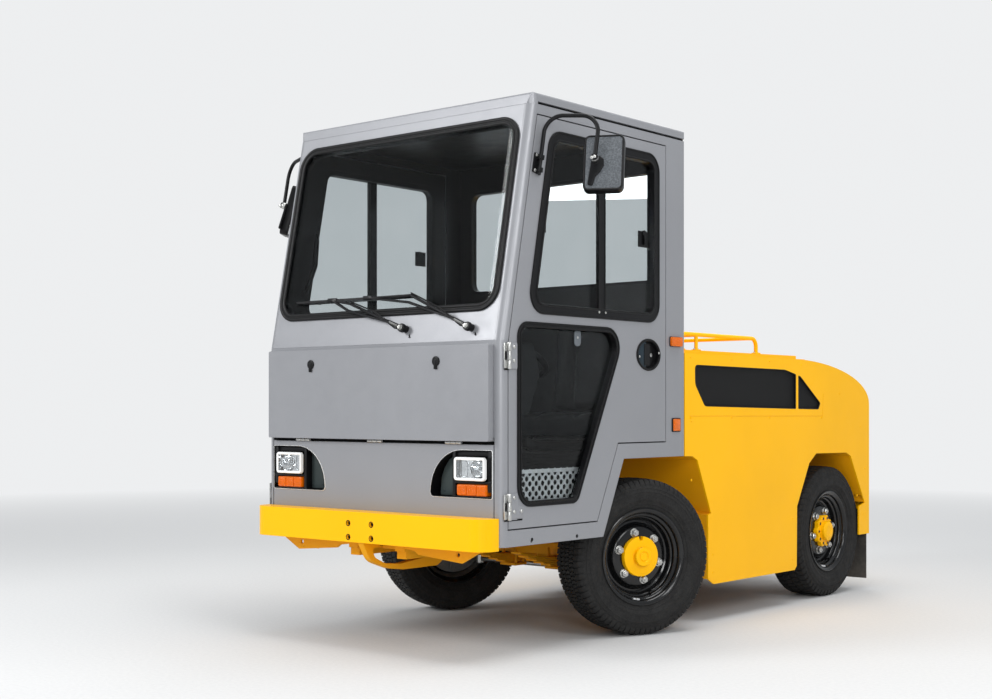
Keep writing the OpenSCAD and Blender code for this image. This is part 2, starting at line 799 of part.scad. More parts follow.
body_front_y = cab_l + 8;
lid_z = body_top_z + fit;
lid_knuckle_r = 7;
lid_axis_y = lid_rear_y + lid_knuckle_r + 1;
lid_axis_z = lid_z + lid_knuckle_r + 1;
lid_hinge_x = lid_half_w - 200;
body_rear_low_z = 293;
front_liner_y = front_axle_y + 417;
front_arch = [[body_front_y - 60, body_low_z - 60], [front_liner_y + 50, body_low_z - 60],
    [front_liner_y + 50, body_low_z], [front_liner_y, body_low_z + 26], [front_liner_y, 480],
    [front_liner_y + 25, 487], [front_liner_y - 88, 727], [front_liner_y - 129, arch_z - 3],
    [body_front_y - 60, arch_z]];
// Points of the rear wheel's arch, from the axle's place
rear_arch = [for (p = [[-410, body_low_z - 60], [283, body_low_z - 60], [283, 442], [349, 458],
    [188, 708], [138, 727], [-188, 730], [-261, 684], [-385, 476], [-389, body_low_z + 18],
    [-410, body_low_z]]) [rear_axle_y + p[0], p[1]]];
grille_bar_y = [tail_start_y + 44, tail_start_y + 66];
// Outlines of the openings for the grilles, with heights below the body's top
function below_top(p) = [for (q = p) [q[0], body_top_z - q[1]]];
grille_hole_front = rounded(below_top([[body_front_y + 163, 233], [grille_bar_y[0], 245],
    [grille_bar_y[0], 75], [grille_bar_y[0] - 107, 55], [body_front_y + 81, 49],
    [body_front_y + 83, 136]]), [30, 6, 10, 60, 20, 40], 4);
grille_hole_rear = rounded(below_top([[grille_bar_y[1], 245], [tail_start_y + 276, 247],
    [tail_start_y + 297, 215], [tail_start_y + 90, 85], [grille_bar_y[1], 79]]),
    [6, 12, 12, 20, 6], 4);

module side_outline() {
    difference() {
        polygon(concat([[body_front_y, body_low_z], [rear_axle_y - 40, body_low_z],
            [rear_axle_y - 40, body_rear_low_z],
            [tail_y, body_rear_low_z]], tail_curve(0), [[body_front_y, body_top_z]]));
        polygon(front_arch);
        polygon(rear_arch);
    }
}

liner_t = 6;
liner_inner_x = 190;
rear_liner_inner_x = 360;

module body_side(s) {
    color("gold") home() on_side(s) {
        along_x(half_w - sheet, sheet) difference() {
            side_outline();
            polygon(grille_hole_front);
            polygon(grille_hole_rear);
        }
        block([lid_half_w - 20, body_front_y, body_top_z - sheet],
            [half_w - sheet, lid_rear_y + 8, body_top_z]);
    }
}

// Folded sheets over the wheels
module arch_liners() {
    color("gold") home() both() {
        along_x(liner_inner_x, half_w - sheet - liner_inner_x) intersection() {
            difference() {
                polygon(grow(front_arch, liner_t));
                polygon(front_arch);
            }
            polygon(box_outline(body_front_y, body_low_z + 26, front_liner_y + 60, arch_z + liner_t));
        }
        along_x(rear_liner_inner_x, half_w - sheet - rear_liner_inner_x) intersection() {
            difference() {
                polygon(grow(rear_arch, liner_t));
                polygon(rear_arch);
            }
            union() {
                polygon(box_outline(rear_axle_y - 440, body_low_z + 26, rear_axle_y - 340, 800));
                polygon(box_outline(rear_axle_y - 350, 500, rear_axle_y + 370, 800));
            }
        }
    }
}

module body_side_left() { body_side(1); }

module body_side_right() { body_side(-1); }

module body_rear() {
    w = half_w - sheet;
    outer = tail_curve(0);
    inner = tail_curve(sheet);
    start = lid_rear_y + 8;
    color("gold") home() {
        intersection() {
            along_x(-w, 2 * w) polygon(concat([[tail_y - sheet, body_rear_low_z],
                [tail_y, body_rear_low_z]], outer, [for (i = [len(inner) - 1 : -1 : 0]) inner[i]]));
            block([-w, start, 0], [w, tail_y, body_top_z]);
        }
        for (x = [-lid_hinge_x, lid_hinge_x]) for (e = [-1, 1]) {
            x0 = x + e * 52 - 10;
            x_rod(x0, x0 + 20, lid_axis_y, lid_axis_z, lid_knuckle_r);
            block([x0, lid_axis_y, body_top_z - sheet - 2], [x0 + 20, lid_axis_y + 24, lid_axis_z]);
        }
        block([-lid_half_w + 20, body_front_y, body_top_z - sheet - 22],
            [lid_half_w - 20, body_front_y + sheet, body_top_z]);
        block([-w, body_front_y, arch_z + liner_t], [w, body_front_y + sheet, body_top_z - sheet]);
    }
}

module side_grilles() {
    color("black") home() both() along_x(half_w - sheet - 4 - fit, 4) {
        polygon(grow(grille_hole_front, 12));
        polygon(grow(grille_hole_rear, 9));
    }
}

mudflap_t = 8;

module mudflaps() {
    color("black") home() both() block([half_w - 251, tail_y - sheet - mudflap_t, 56],
        [half_w - sheet - 3, tail_y - sheet, 420]);
}

module tail_lamps() {
    lamp_w = 120;
    lamp_h = 70;
    color("red") home() both() for (z = [680, 760]) along_y(tail_y, 22)
        polygon(rounded(box_outline(lid_half_w - lamp_w, z, lid_half_w, z + lamp_h), [8, 8, 8, 8], 3));
}

module engine_lid() {
    color("gold") home() {
        along_x(-lid_half_w, 2 * lid_half_w) polygon(rounded(
            box_outline(lid_front_y, lid_z, lid_rear_y, lid_z + lid_t), [1, 1, 4, 4], 3));
        for (x = [-lid_hinge_x, lid_hinge_x]) {
            x_rod(x - 40, x + 40, lid_axis_y, lid_axis_z, lid_knuckle_r);
            block([x - 40, lid_rear_y - 5, lid_axis_z - 5], [x + 40, lid_axis_y, lid_axis_z + 5]);
        }
    }
}

module luggage_rail() {
    x = lid_half_w - 20;
    base = lid_z + lid_t;
    top = base + rail_h;
    front_y = lid_front_y + 20;
    rear_y = front_y + 660;
    post_y = lid_front_y + 150;
    bend = 40;
    color("gold") home() {
        for (s = [-1, 1]) {
            bent_tube([[s * x, front_y, base], [s * x, front_y, top], [s * x, rear_y, top],
                [s * x, rear_y, base]], bend, rail_r);
            rod([s * x, post_y, base], [s * x, post_y, top], rail_r - 1);
        }
        for (y = [post_y + 30, rear_y - bend - 10]) rod([-x, y, top], [x, y, top], rail_r - 1);
    }
}

// Chassis

rear_lift = 100;
rail_high_z = rail_low_z + rail_depth;
loop_half_t = 15;

module frame_rails() {
    low = rail_low_z;
    high = rail_high_z;
    end = tail_y - sheet;
    rail = [[10, low], [rear_axle_y - 470, low], [rear_axle_y - 270, low + rear_lift],
        [end, low + rear_lift], [end, high + rear_lift], [rear_axle_y - 300, high + rear_lift],
        [rear_axle_y - 500, high], [10, high]];
    bracket_y = bumper_t - bumper_out + fit;
    bracket_z = bumper_low_z + bumper_t + fit;
    color("gold") home() both() along_x(rail_half_w - rail_w, rail_w) {
        polygon(rail);
        polygon([[bracket_y, bracket_z], [-1, bracket_z], [-1, low + 30], [panel_t, low + 30],
            [panel_t, sill_z + 69], [bracket_y, sill_z + 69]]);
    }
}

// Members across the frame, and those that carry the body's sides
module frame_members() {
    low = rail_low_z;
    high = rail_high_z;
    inner = rail_half_w - rail_w;
    side_x = half_w - sheet;
    liner_y = front_liner_y + liner_t;
    color("gold") home() {
        both() block([loop_half_t, 20, high - 40], [inner, 60, high]);
        block([-inner, front_axle_y + 350, low], [inner, front_axle_y + 400, high]);
        block([-inner, rear_axle_y + 280, low + rear_lift], [inner, rear_axle_y + 330, high + rear_lift]);
        both() {
            block([rail_half_w, tail_y - 60, low + rear_lift], [side_x, tail_y - 40, high + rear_lift]);
            block([rail_half_w, rear_axle_y - 450, low + 20], [side_x, rear_axle_y - 410, high]);
            block([rail_half_w, liner_y, low], [320, liner_y + 25, high]);
        }
    }
}

module front_crossplate() {
    edge_x = bumper_half_w - 100;
    lash_x = edge_x - 104;
    lash_z = 399;
    rib_x = edge_x - 195;
    color("gold") home() both() {
        difference() {
            along_y(0, 10) polygon([[loop_half_t, sill_z], [loop_half_t, 412], [104, 412], [208, 399],
                [228, 386], [edge_x - 85, 367], [edge_x, 412], [edge_x, sill_z]]);
            translate([lash_x, -1, lash_z]) rotate([-90, 0, 0]) cylinder(r = 9, h = 12);
            block([rail_half_w - rail_w, -1, rail_low_z], [rail_half_w, 11, sill_z + 1]);
        }
        along_x(rib_x, 12) polygon([[9, sill_z], [9, 374], [90, 400], [220, sill_z]]);
    }
}

// Guard plate under the bumper, with a long slot for a lashing strap
module guard_loop() {
    slot = rounded(box_outline(-16, 341, 152, 390), [24, 24, 24, 24], 6);
    color("gold") home() along_x(-loop_half_t, 2 * loop_half_t) difference() {
        polygon(rounded([[-90, bumper_low_z - fit], [-45, 348], [60, 312], [140, 302], [345, 302],
            [384, 325], [395, sill_z - 1], [2, sill_z - 1], [2, bumper_low_z - fit]],
            [1, 80, 60, 20, 20, 20, 1, 0.5, 0.5], 4));
        polygon(slot);
    }
}

steer_beam_z = [302, 356];

module steer_axle() {
    boss_r = 28;
    color("gray") home() {
        difference() {
            union() {
                block([-kingpin_x + 10, front_axle_y - 26, steer_beam_z[0]],
                    [kingpin_x - 10, front_axle_y + 26, steer_beam_z[1]]);
                both() translate([kingpin_x, front_axle_y, steer_beam_z[0]])
                    cylinder(r = boss_r, h = steer_beam_z[1] - steer_beam_z[0]);
            }
            both() translate([kingpin_x, front_axle_y, 0]) cylinder(r = kingpin_r + pin_clear, h = 600);
        }
        both() block([rail_half_w - rail_w, front_axle_y - 60, steer_beam_z[1]],
            [rail_half_w, front_axle_y + 60, rail_low_z]);
    }
}

// Moves to a kingpin and turns with the parked wheels
module steered(s) {
    translate([s * kingpin_x, front_axle_y, 0]) rotate([0, 0, -parked_steer]) children();
}

spindle_r = 22;
ear_gap = 1;
arm_z = steer_beam_z[0] - 28;

module knuckle(s) {
    color("gray") home() steered(s) on_side(s) {
        translate([0, 0, steer_beam_z[0] - 44]) cylinder(r = kingpin_r, h = 154);
        for (z = [steer_beam_z[0] - 40 - ear_gap, steer_beam_z[1] + ear_gap]) {
            translate([0, 0, z]) cylinder(r = 28, h = 40);
            block([0, -28, z], [46, 28, z + 40]);
        }
        block([32, -28, steer_beam_z[0] - 41], [46, 28, steer_beam_z[1] + 41]);
        x_rod(46, 54, 0, axle_z, bead_r - 43);
        x_rod(40, kingpin_offset + 30, 0, axle_z, spindle_r);
        block([-14, 0, arm_z - 13], [14, arm_l, arm_z + 12]);
        translate([0, arm_l, arm_z - 13]) cylinder(r = 18, h = 25);
        translate([0, arm_l, arm_z - 60]) cylinder(r = 8, h = 60);
    }
}

module knuckle_left() { knuckle(1); }

module knuckle_right() { knuckle(-1); }

function arm_end(s) = [s * kingpin_x + arm_l * sin(parked_steer), front_axle_y + arm_l * cos(parked_steer)];

module tie_rod() {
    z = arm_z - 13 - 22;
    a = arm_end(-1);
    b = arm_end(1);
    color("gray") home() difference() {
        union() {
            x_rod(a[0], b[0], a[1], z, 12);
            for (p = [a, b]) translate([p[0], p[1], z - 18]) cylinder(r = 18, h = 36);
        }
        translate([b[0], b[1], z - 40]) cylinder(r = 8 + pin_clear, h = 80);
        translate([a[0], a[1], z - 40]) cylinder(r = 8 + 1, h = 80);
    }
}

// Axle tube, differential bulge and shaft ends, turned about the X axis
module rear_axle() {
    tube_end = rear_track / 2 - 90;
    shaft_end = rear_track / 2 + 10;
    shaft_r = 30;
    bulge_r = 115;
    half = [[bulge_r, 40], [axle_tube_r, 95], [axle_tube_r, tube_end], [shaft_r, tube_end],
        [shaft_r, shaft_end], [0, shaft_end]];
    outline = concat([for (k = [len(half) - 1 : -1 : 0]) [half[k][0], -half[k][1]]], half);
    color("gray") home() {
        translate([0, rear_axle_y, axle_z]) rotate([0, 90, 0]) rotate_extrude() polygon(outline);
        both() block([rail_half_w - rail_w, rear_axle_y - 45, axle_z],
            [rail_half_w, rear_axle_y + 45, rail_low_z + 100]);
    }
}

module engine_block() {
    front = front_liner_y + liner_t + 57;
    color("dimgray") home() block([-engine_half_w, front, rail_high_z],
        [engine_half_w, front + engine_l, body_top_z - engine_room]);
}

// Tyre about the X axis, standing on its own centre
tyre_r = tyre_d / 2;
bead_r = rim_flange_d / 2 - 20;
bulge = tyre_w / 2;
tread_w = tyre_w - 38;

module tyre() {
    wall_r = (tyre_r + bead_r) / 2;
    half_bead = 75.7;
    profile = rounded([[bead_r, -half_bead], [bead_r + 26, -half_bead], [wall_r, -bulge],
        [tyre_r - 34, -bulge + 6], [tyre_r - 4, -tread_w / 2 + 4], [tyre_r, -tread_w / 2 + 22],
        [tyre_r, tread_w / 2 - 22], [tyre_r - 4, tread_w / 2 - 4], [tyre_r - 34, bulge - 6],
        [wall_r, bulge], [bead_r + 26, half_bead], [bead_r, half_bead]],
        [4, 6, 30, 20, 16, 40, 40, 16, 20, 30, 6, 4], 3);
    color("dimgray") rotate([0, 90, 0]) rotate_extrude() polygon(profile);
}

// Steel wheel about the X axis; its outer side is +X. seat_r is the bore, cap_d the hub's size.
module rim(seat_r, cap_d, cap_h, spindle_l) {
    f = rim_flange_d / 2;
    seat = bead_r - fit;
    t = 6;
    disc_x = 44;
    hub_x = -38;
    disc_r = seat - 29;
    barrel = [[seat, -76], [f - 6, -77], [f, -80], [f - 2, -87], [f - 12, -83], [seat - t, -82],
        [seat - t, -52], [seat - 26 - t, -44], [seat - 26 - t, 24], [seat - t, 48], [seat - t, 82],
        [f - 12, 83], [f - 2, 87], [f, 80], [f - 6, 77], [seat, 76], [seat, 50], [seat - 26, 28],
        [seat - 26, -42], [seat, -52]];
    disc = [[seat_r + 20, disc_x - 12], [disc_r - 42, disc_x - 12], [disc_r - 22, disc_x - 34],
        [disc_r, disc_x - 26], [disc_r, disc_x - 18], [disc_r - 20, disc_x - 26],
        [disc_r - 40, disc_x], [seat_r + 20, disc_x]];
    difference() {
        union() {
            color("black") rotate([0, 90, 0]) rotate_extrude() polygon(barrel);
            color("black") rotate([0, 90, 0]) rotate_extrude() polygon(disc);
            color("silver") for (k = [0 : stud_count - 1]) rotate([k * 360 / stud_count, 0, 0])
                translate([disc_x, stud_circle_d / 2, 0]) rotate([0, 90, 0]) cylinder(r = 12, h = 20);
            color("gold") x_rod(hub_x, disc_x + 6, 0, 0, cap_d / 2 - 6);
            color("gold") x_rod(disc_x + 4, disc_x + cap_h, 0, 0, cap_d / 2);
            color("gold") x_rod(disc_x + cap_h, disc_x + cap_h + 16, 0, 0, 26);
        }
        x_rod(hub_x - 1, spindle_l, 0, 0, seat_r + pin_clear);
    }
}

module front_wheel_place(s) {
    home() steered(s) on_side(s) translate([kingpin_offset, 0, axle_z]) children();
}

module rear_wheel_place(s) {
    home() on_side(s) translate([rear_track / 2, rear_axle_y, axle_z]) children();
}

front_cap_h = 26;
rear_cap_h = 34;

module tyre_front_left() { front_wheel_place(1) tyre(); }

module tyre_front_right() { front_wheel_place(-1) tyre(); }

module tyre_rear_left() { rear_wheel_place(1) tyre(); }

module tyre_rear_right() { rear_wheel_place(-1) tyre(); }

module rim_front_left() { front_wheel_place(1) rim(spindle_r, front_cap_d, front_cap_h, 31); }

module rim_front_right() { front_wheel_place(-1) rim(spindle_r, front_cap_d, front_cap_h, 31); }

module rim_rear_left() { rear_wheel_place(1) rim(30, rear_cap_d, rear_cap_h, 11); }

module rim_rear_right() { rear_wheel_place(-1) rim(30, rear_cap_d, rear_cap_h, 11); }

// Tow coupling

coupling_pin_y = tail_y + coupling_out - 55;

module tow_coupling() {
    plates = 3;
    top = coupling_low_z + (plates - 1) * coupling_pitch + coupling_plate_t;
    w = coupling_w / 2;
    color("dimgray") home() difference() {
        union() {
            block([-w, tail_y + fit, coupling_low_z - 5], [w, tail_y + 18, top + 30]);
            for (k = [0 : plates - 1]) translate([0, 0, coupling_low_z + k * coupling_pitch])
                linear_extrude(coupling_plate_t) polygon(rounded([[-w, tail_y + 10], [w, tail_y + 10],
                    [w, tail_y + coupling_out], [-w, tail_y + coupling_out]], [1, 1, 45, 45]));
            for (s = [-1, 1]) block([s * (w - 8) - 8, tail_y + 10, coupling_low_z],
                [s * (w - 8) + 8, tail_y + 60, top]);
        }
        translate([0, coupling_pin_y, 0]) cylinder(d = coupling_pin_d + 2, h = top + 50);
    }
}

module coupling_pin() {
    top = coupling_low_z + 2 * coupling_pitch + coupling_plate_t;
    color("silver") home() translate([0, coupling_pin_y, 0]) {
        translate([0, 0, coupling_low_z - 20]) cylinder(d = coupling_pin_d, h = top - coupling_low_z + 60);
        translate([0, 0, top]) cylinder(d = coupling_pin_d + 14, h = 8);
        translate([0, 0, top + 74]) rotate([90, 0, 0]) rotate_extrude() translate([30, 0]) circle(r = 6);
    }
}

frame_rails();
frame_members();
front_crossplate();
guard_loop();
steer_axle();
rear_axle();
engine_block();
front_bumper();
cab_side_left();
cab_side_right();
cab_front();
windscreen_frame();
front_panel();
lamp_bezels();
headlamps();
headlamp_lenses();
amber_lamps();
cab_rear_wall();
roof();
cab_floor();
cab_glass();
cab_seals();
dashboard();
steering_wheel();
seat();
wipers();
body_side_left();
body_side_right();
arch_liners();
body_rear();
side_grilles();
mudflaps();
tail_lamps();
tow_coupling();
coupling_pin();
engine_lid();
luggage_rail();
front_flap();
door_left();
door_left_trim();
door_left_glass();
mirror_left();
door_right();
door_right_trim();
door_right_glass();
mirror_right();
knuckle_left();
knuckle_right();
tie_rod();
tyre_front_left();
rim_front_left();
tyre_front_right();
rim_front_right();
tyre_rear_left();
rim_rear_left();
tyre_rear_right();
rim_rear_right();
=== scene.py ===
"""Looks of the baggage tow tractor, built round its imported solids.

Shapes are written in millimetres. In the body's frame Y = 0 is the cab's flat front, +X is the
tractor's left and +Z is up; HOME turns that frame into metres in the row frame.
"""

import json
import math
import random

import bmesh
import bpy
from mathutils import Matrix, Vector


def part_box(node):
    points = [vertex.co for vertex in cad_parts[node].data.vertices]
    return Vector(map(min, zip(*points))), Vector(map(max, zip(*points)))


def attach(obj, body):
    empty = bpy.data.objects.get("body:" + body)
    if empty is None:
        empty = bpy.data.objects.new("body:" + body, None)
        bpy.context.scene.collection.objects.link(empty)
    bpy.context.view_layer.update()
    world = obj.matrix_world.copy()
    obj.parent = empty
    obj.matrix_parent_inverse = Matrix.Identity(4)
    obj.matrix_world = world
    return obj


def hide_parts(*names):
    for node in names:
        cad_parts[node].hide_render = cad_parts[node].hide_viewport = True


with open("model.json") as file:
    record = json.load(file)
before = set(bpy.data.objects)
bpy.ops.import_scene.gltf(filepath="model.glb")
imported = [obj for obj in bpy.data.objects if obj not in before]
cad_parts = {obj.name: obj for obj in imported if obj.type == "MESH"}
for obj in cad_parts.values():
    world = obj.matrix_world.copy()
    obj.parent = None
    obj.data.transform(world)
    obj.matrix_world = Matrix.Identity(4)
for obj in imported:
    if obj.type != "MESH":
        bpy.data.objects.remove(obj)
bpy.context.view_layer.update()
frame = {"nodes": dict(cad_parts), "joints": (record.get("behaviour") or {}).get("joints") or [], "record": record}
random.seed(11)


# Frames: the third axis of a surface's frame points out of it


def at(x, y, z=0.0):
    return Matrix.Translation((x, y, z))


def turned(degrees, axis):
    return Matrix.Rotation(math.radians(degrees), 4, axis)


def mirrored(s):
    """Turns a shape of the left side into the one of side s."""
    return Matrix.Diagonal((s, 1, 1, 1))


def basis(u, v, w, origin=(0, 0, 0)):
    m = Matrix((u, v, w)).transposed().to_4x4()
    m.translation = Vector(origin)
    return m


MM = 0.001
FRONT_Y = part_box("front_panel")[0].y
HOME = at(0, FRONT_Y) @ Matrix.Scale(MM, 4)
LOCAL = Matrix.Identity(4)


def low(node):
    """Lowest corner of a node in the body's frame."""
    return HOME.inverted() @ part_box(node)[0]


def high(node):
    """Highest corner of a node in the body's frame."""
    return HOME.inverted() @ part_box(node)[1]


HALF_W = high("roof").x
INNER_X = high("cab_rear_wall").x
WALL = HALF_W - INNER_X
ROOF_Z = high("roof").z
ROOF_LOW_Z = low("roof").z
CAB_L = high("cab_rear_wall").y
KINK_Z = low("windscreen_frame").z - 0.3
LEAN = math.radians(11.2)
SLOPE = math.tan(LEAN)
TYRE_R = (high("tyre_rear_left").z - low("tyre_rear_left").z) / 2
TAIL_Y = high("body_rear").y
BODY_TOP_Z = high("body_side_left").z
SIDES = ((1, "left"), (-1, "right"))

SIDE = {s: basis((0, 1, 0), (0, 0, 1), (s, 0, 0), (s * HALF_W, 0, 0)) for s in (1, -1)}
FRONT = basis((1, 0, 0), (0, 0, 1), (0, -1, 0))
REAR = basis((1, 0, 0), (0, 0, 1), (0, 1, 0))
LEANING = Matrix.Rotation(-LEAN, 4, "X")
SCREEN = at(0, 0, KINK_Z) @ LEANING @ FRONT


# Outlines in a plane, as lists of (u, v)


def unit(v):
    return v / v.length


def half_angle(u, v):
    return math.acos(max(-1, min(1, u.dot(v)))) / 2


def grow(outline, d):
    """The outline with every edge moved outward by d; its points run anticlockwise."""
    made = []
    for i, b in enumerate(outline):
        a, c = Vector(outline[i - 1]), Vector(outline[(i + 1) % len(outline)])
        b = Vector(b)
        u, v = unit(b - a), unit(c - b)
        m, k = Vector((u.y, -u.x)), Vector((v.y, -v.x))
        made.append(b + d * (m + k) / (1 + m.dot(k)))
    return made


def rounded(outline, radii, steps=8):
    """The outline with its corners turned into arcs; radii is one radius, or one for each."""
    made = []
    if not hasattr(radii, "__len__"):
        radii = [radii] * len(outline)
    for i, (b, r) in enumerate(zip(outline, radii)):
        b = Vector(b)
        u = unit(Vector(outline[i - 1]) - b)
        v = unit(Vector(outline[(i + 1) % len(outline)]) - b)
        half = half_angle(u, v)
        c = b + unit(u + v) * r / math.sin(half)
        s, e = b + u * r / math.tan(half) - c, b + v * r / math.tan(half) - c
        a0 = math.atan2(s.y, s.x)
        turn = math.atan2(s.x * e.y - s.y * e.x, s.dot(e))
        for k in range(steps + 1):
            a = a0 + turn * k / steps
            made.append(c + r * Vector((math.cos(a), math.sin(a))))
    return made


def rectangle(u0, v0, u1, v1):
    return [(u0, v0), (u1, v0), (u1, v1), (u0, v1)]


def pad(u0, v0, u1, v1, r, steps):
    """A rectangle with rounded corners."""
    return rounded(rectangle(u0, v0, u1, v1), r, steps)


def ring_points(r, n, phase=0.0, centre=(0, 0)):
    angles = [phase + math.tau * k / n for k in range(n)]
    return [(centre[0] + r * math.cos(a), centre[1] + r * math.sin(a)) for a in angles]


def arc(centre, radii, start, end, steps):
    """Points of an ellipse between two angles in degrees, both ends included."""
    angles = [math.radians(start + (end - start) * k / steps) for k in range(steps + 1)]
    return [(centre[0] + radii[0] * math.cos(a), centre[1] + radii[1] * math.sin(a)) for a in angles]


# Mesh tools; each adds to a bmesh in millimetres, in a local frame


def loft(bm, loops, place=LOCAL, around=True, caps=True):
    """Skins a list of closed loops of points; around joins the last loop to the first."""
    rows = [[bm.verts.new(place @ Vector(p)) for p in loop] for loop in loops]
    for a, b in zip(rows, rows[1:] + rows[:1] if around else rows[1:]):
        for i in range(len(a)):
            j = (i + 1) % len(a)
            bm.faces.new((a[i], a[j], b[j], b[i]))
    if caps and not around:
        bm.faces.new(rows[0][::-1])
        bm.faces.new(rows[-1])
    return rows


def sweep_ring(bm, outline, section, place):
    """Sweeps a closed section of (inward offset, height) round an outline."""
    loft(bm, [[(*p, h) for p in grow(outline, -d)] for d, h in section], place)


def plate(bm, outline, w0, w1, place, bevel):
    """A flat plate from w0 to w1, its upper edge bevelled."""
    loops = [[(*p, w) for p in outline] for w in (w0, w1 - bevel)]
    for inset, drop in ((0.3 * bevel, 0.3 * bevel), (bevel, 0.0)):
        loops.append([(*p, w1 - drop) for p in grow(outline, -inset)])
    loft(bm, loops, place, around=False)


def lathe(bm, profile, place=LOCAL, n=64):
    """Turns a profile of (radius, height) about the local third axis; a radius of 0 closes it."""
    rows = []
    for r, h in profile:
        points = ring_points(r, n) if r > 1e-6 else [(0, 0)]
        rows.append([bm.verts.new(place @ Vector((*p, h))) for p in points])
    for a, b in zip(rows, rows[1:]):
        for i in range(n):
            j = (i + 1) % n
            corners = (a[i % len(a)], a[j % len(a)], b[j % len(b)], b[i % len(b)])
            different = tuple(dict.fromkeys(corners))
            if len(different) > 2:
                bm.faces.new(different)


def fillet(points, r, steps=6):
    """A path with its inner corners turned into arcs."""
    made = [Vector(points[0])]
    for a, b, c in zip(points, points[1:], points[2:]):
        a, b, c = Vector(a), Vector(b), Vector(c)
        u, v = unit(a - b), unit(c - b)
        half = half_angle(u, v)
        if half > math.radians(89):
            made.append(b)
            continue
        reach = min(r / math.tan(half), 0.49 * (a - b).length, 0.49 * (c - b).length)
        radius = reach * math.tan(half)
        centre = b + unit(u + v) * radius / math.sin(half)
        s, e = b + u * reach - centre, b + v * reach - centre
        for k in range(steps + 1):
            made.append(centre + s.slerp(e, k / steps) if s.angle(e) > 1e-4 else centre + s)
    made.append(Vector(points[-1]))
    return made


def tube(bm, points, r, place=LOCAL, n=14, bend=0.0, flat=1.0):
    """A round tube along a path; flat squeezes it along the path's side."""
    path = fillet(points, bend) if bend else [Vector(p) for p in points]
    radii = r if hasattr(r, "__len__") else [r] * len(path)
    ahead = [unit(b - a) for a, b in zip(path, path[1:])]
    ahead = [ahead[0]] + [unit(a + b) for a, b in zip(ahead, ahead[1:])] + [ahead[-1]]
    side = unit(ahead[0].orthogonal())
    loops = []
    for p, t, radius in zip(path, ahead, radii):
        side = unit(side - side.dot(t) * t)
        up = t.cross(side)
        loops.append([p + radius * (x * side * flat + y * up) for x, y in ring_points(1, n)])
    loft(bm, loops, place, around=False)


def box(bm, lo, hi, place=LOCAL, bevel=1.0, segments=2):
    """A box between two corners with rounded edges."""
    lo, hi = Vector(lo), Vector(hi)
    size = hi - lo
    verts = bmesh.ops.create_cube(bm, size=1)["verts"]
    bmesh.ops.scale(bm, vec=size, verts=verts)
    bmesh.ops.translate(bm, vec=(lo + hi) / 2, verts=verts)
    edges = list({e for v in verts for e in v.link_edges})
    width = min(bevel, 0.45 * min(size))
    cut = bmesh.ops.bevel(bm, geom=edges, offset=width, segments=segments, affect="EDGES", profile=0.5)
    verts = {v for f in cut["faces"] for v in f.verts} | {v for v in verts if v.is_valid}
    verts = list({v for f in {f for v in verts for f in v.link_faces} for v in f.verts})
    bmesh.ops.transform(bm, matrix=place, verts=verts)


def ribs(bm, count, pitch, lo, hi, *rest):
    """A row of boxes, each moved on by the pitch, a vector; the rest is as for one box."""
    for k in range(count):
        box(bm, Vector(lo) + k * Vector(pitch), Vector(hi) + k * Vector(pitch), *rest)


def nut(bm, centre, place, flats, h, stud=0.0, washer=0.0):
    """A hexagon nut on a washer, with the end of its stud; each nut has its own turn."""
    here = place @ at(*centre)
    base = 2.4 if washer else 0.0
    if washer:
        lathe(bm, [(0, 0), (washer, 0), (washer, 1.6), (washer - 0.8, base), (0, base)], here, 24)
    hexagon = ring_points(flats / 2 / math.cos(math.pi / 6), 6, random.random())
    levels = ((1, base), (1, base + 0.85 * h), (0.86, base + h))
    loft(bm, [[(k * x, k * y, z) for x, y in hexagon] for k, z in levels], here, around=False)
    if stud:
        top = base + h
        lathe(bm, [(stud, top - 1), (stud, top + 4), (stud - 1, top + 5), (0, top + 5)], here, 16)


def screw(bm, centre, place, r, h):
    """A low domed screw head with a hexagon socket."""
    head = ((1, -0.5 / h), (1, 0.25), (0.82, 0.75), (0.5, 1), (0.42, 1), (0.38, 0.4), (0, 0.4))
    lathe(bm, [(u * r, w * h) for u, w in head], place @ at(*centre), 18)


def meshes(n):
    return [bmesh.new() for _ in range(n)]


def placed(name, data):
    made = bpy.data.objects.new(name, data)
    bpy.context.scene.collection.objects.link(made)
    return made


def mesh_of(name, bm):
    mesh = bpy.data.meshes.new(name)
    bm.to_mesh(mesh)
    bm.free()
    return mesh


def piece(name, bm, look, body="chassis", slot=None, place=HOME, sharp=38):
    """Turns a bmesh into an object that rides on a body; the slot is not used."""
    bmesh.ops.transform(bm, matrix=place, verts=bm.verts)
    bmesh.ops.recalc_face_normals(bm, faces=bm.faces)
    mesh = mesh_of(name, bm)
    mesh.shade_smooth()
    mesh.set_sharp_from_angle(angle=math.radians(sharp))
    mesh.materials.append(LOOKS[look])
    made = placed(name, mesh)
    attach(made, body)
    slot = slot or look
    return made


# Finishes

SOCKETS = {
    "color": "Base Color", "rough": "Roughness", "metal": "Metallic", "normal": "Normal", "ior": "IOR",
    "coat": "Coat Weight", "coat_rough": "Coat Roughness", "clear": "Transmission Weight",
    "spec": "Specular IOR Level", "sheen": "Sheen Weight", "glow": "Emission Color",
    "glow_strength": "Emission Strength",
}


def srgb(*c):
    """A colour given as 0 to 255 on screen, as linear light."""
    return tuple(x / 3294.6 if x <= 10.31 else ((x / 255 + 0.055) / 1.055) ** 2.4 for x in c) + (1,)


def scaled(color, factor, lift=0.0):
    return tuple(min(1, factor * c + lift) for c in color[:3]) + (1,)


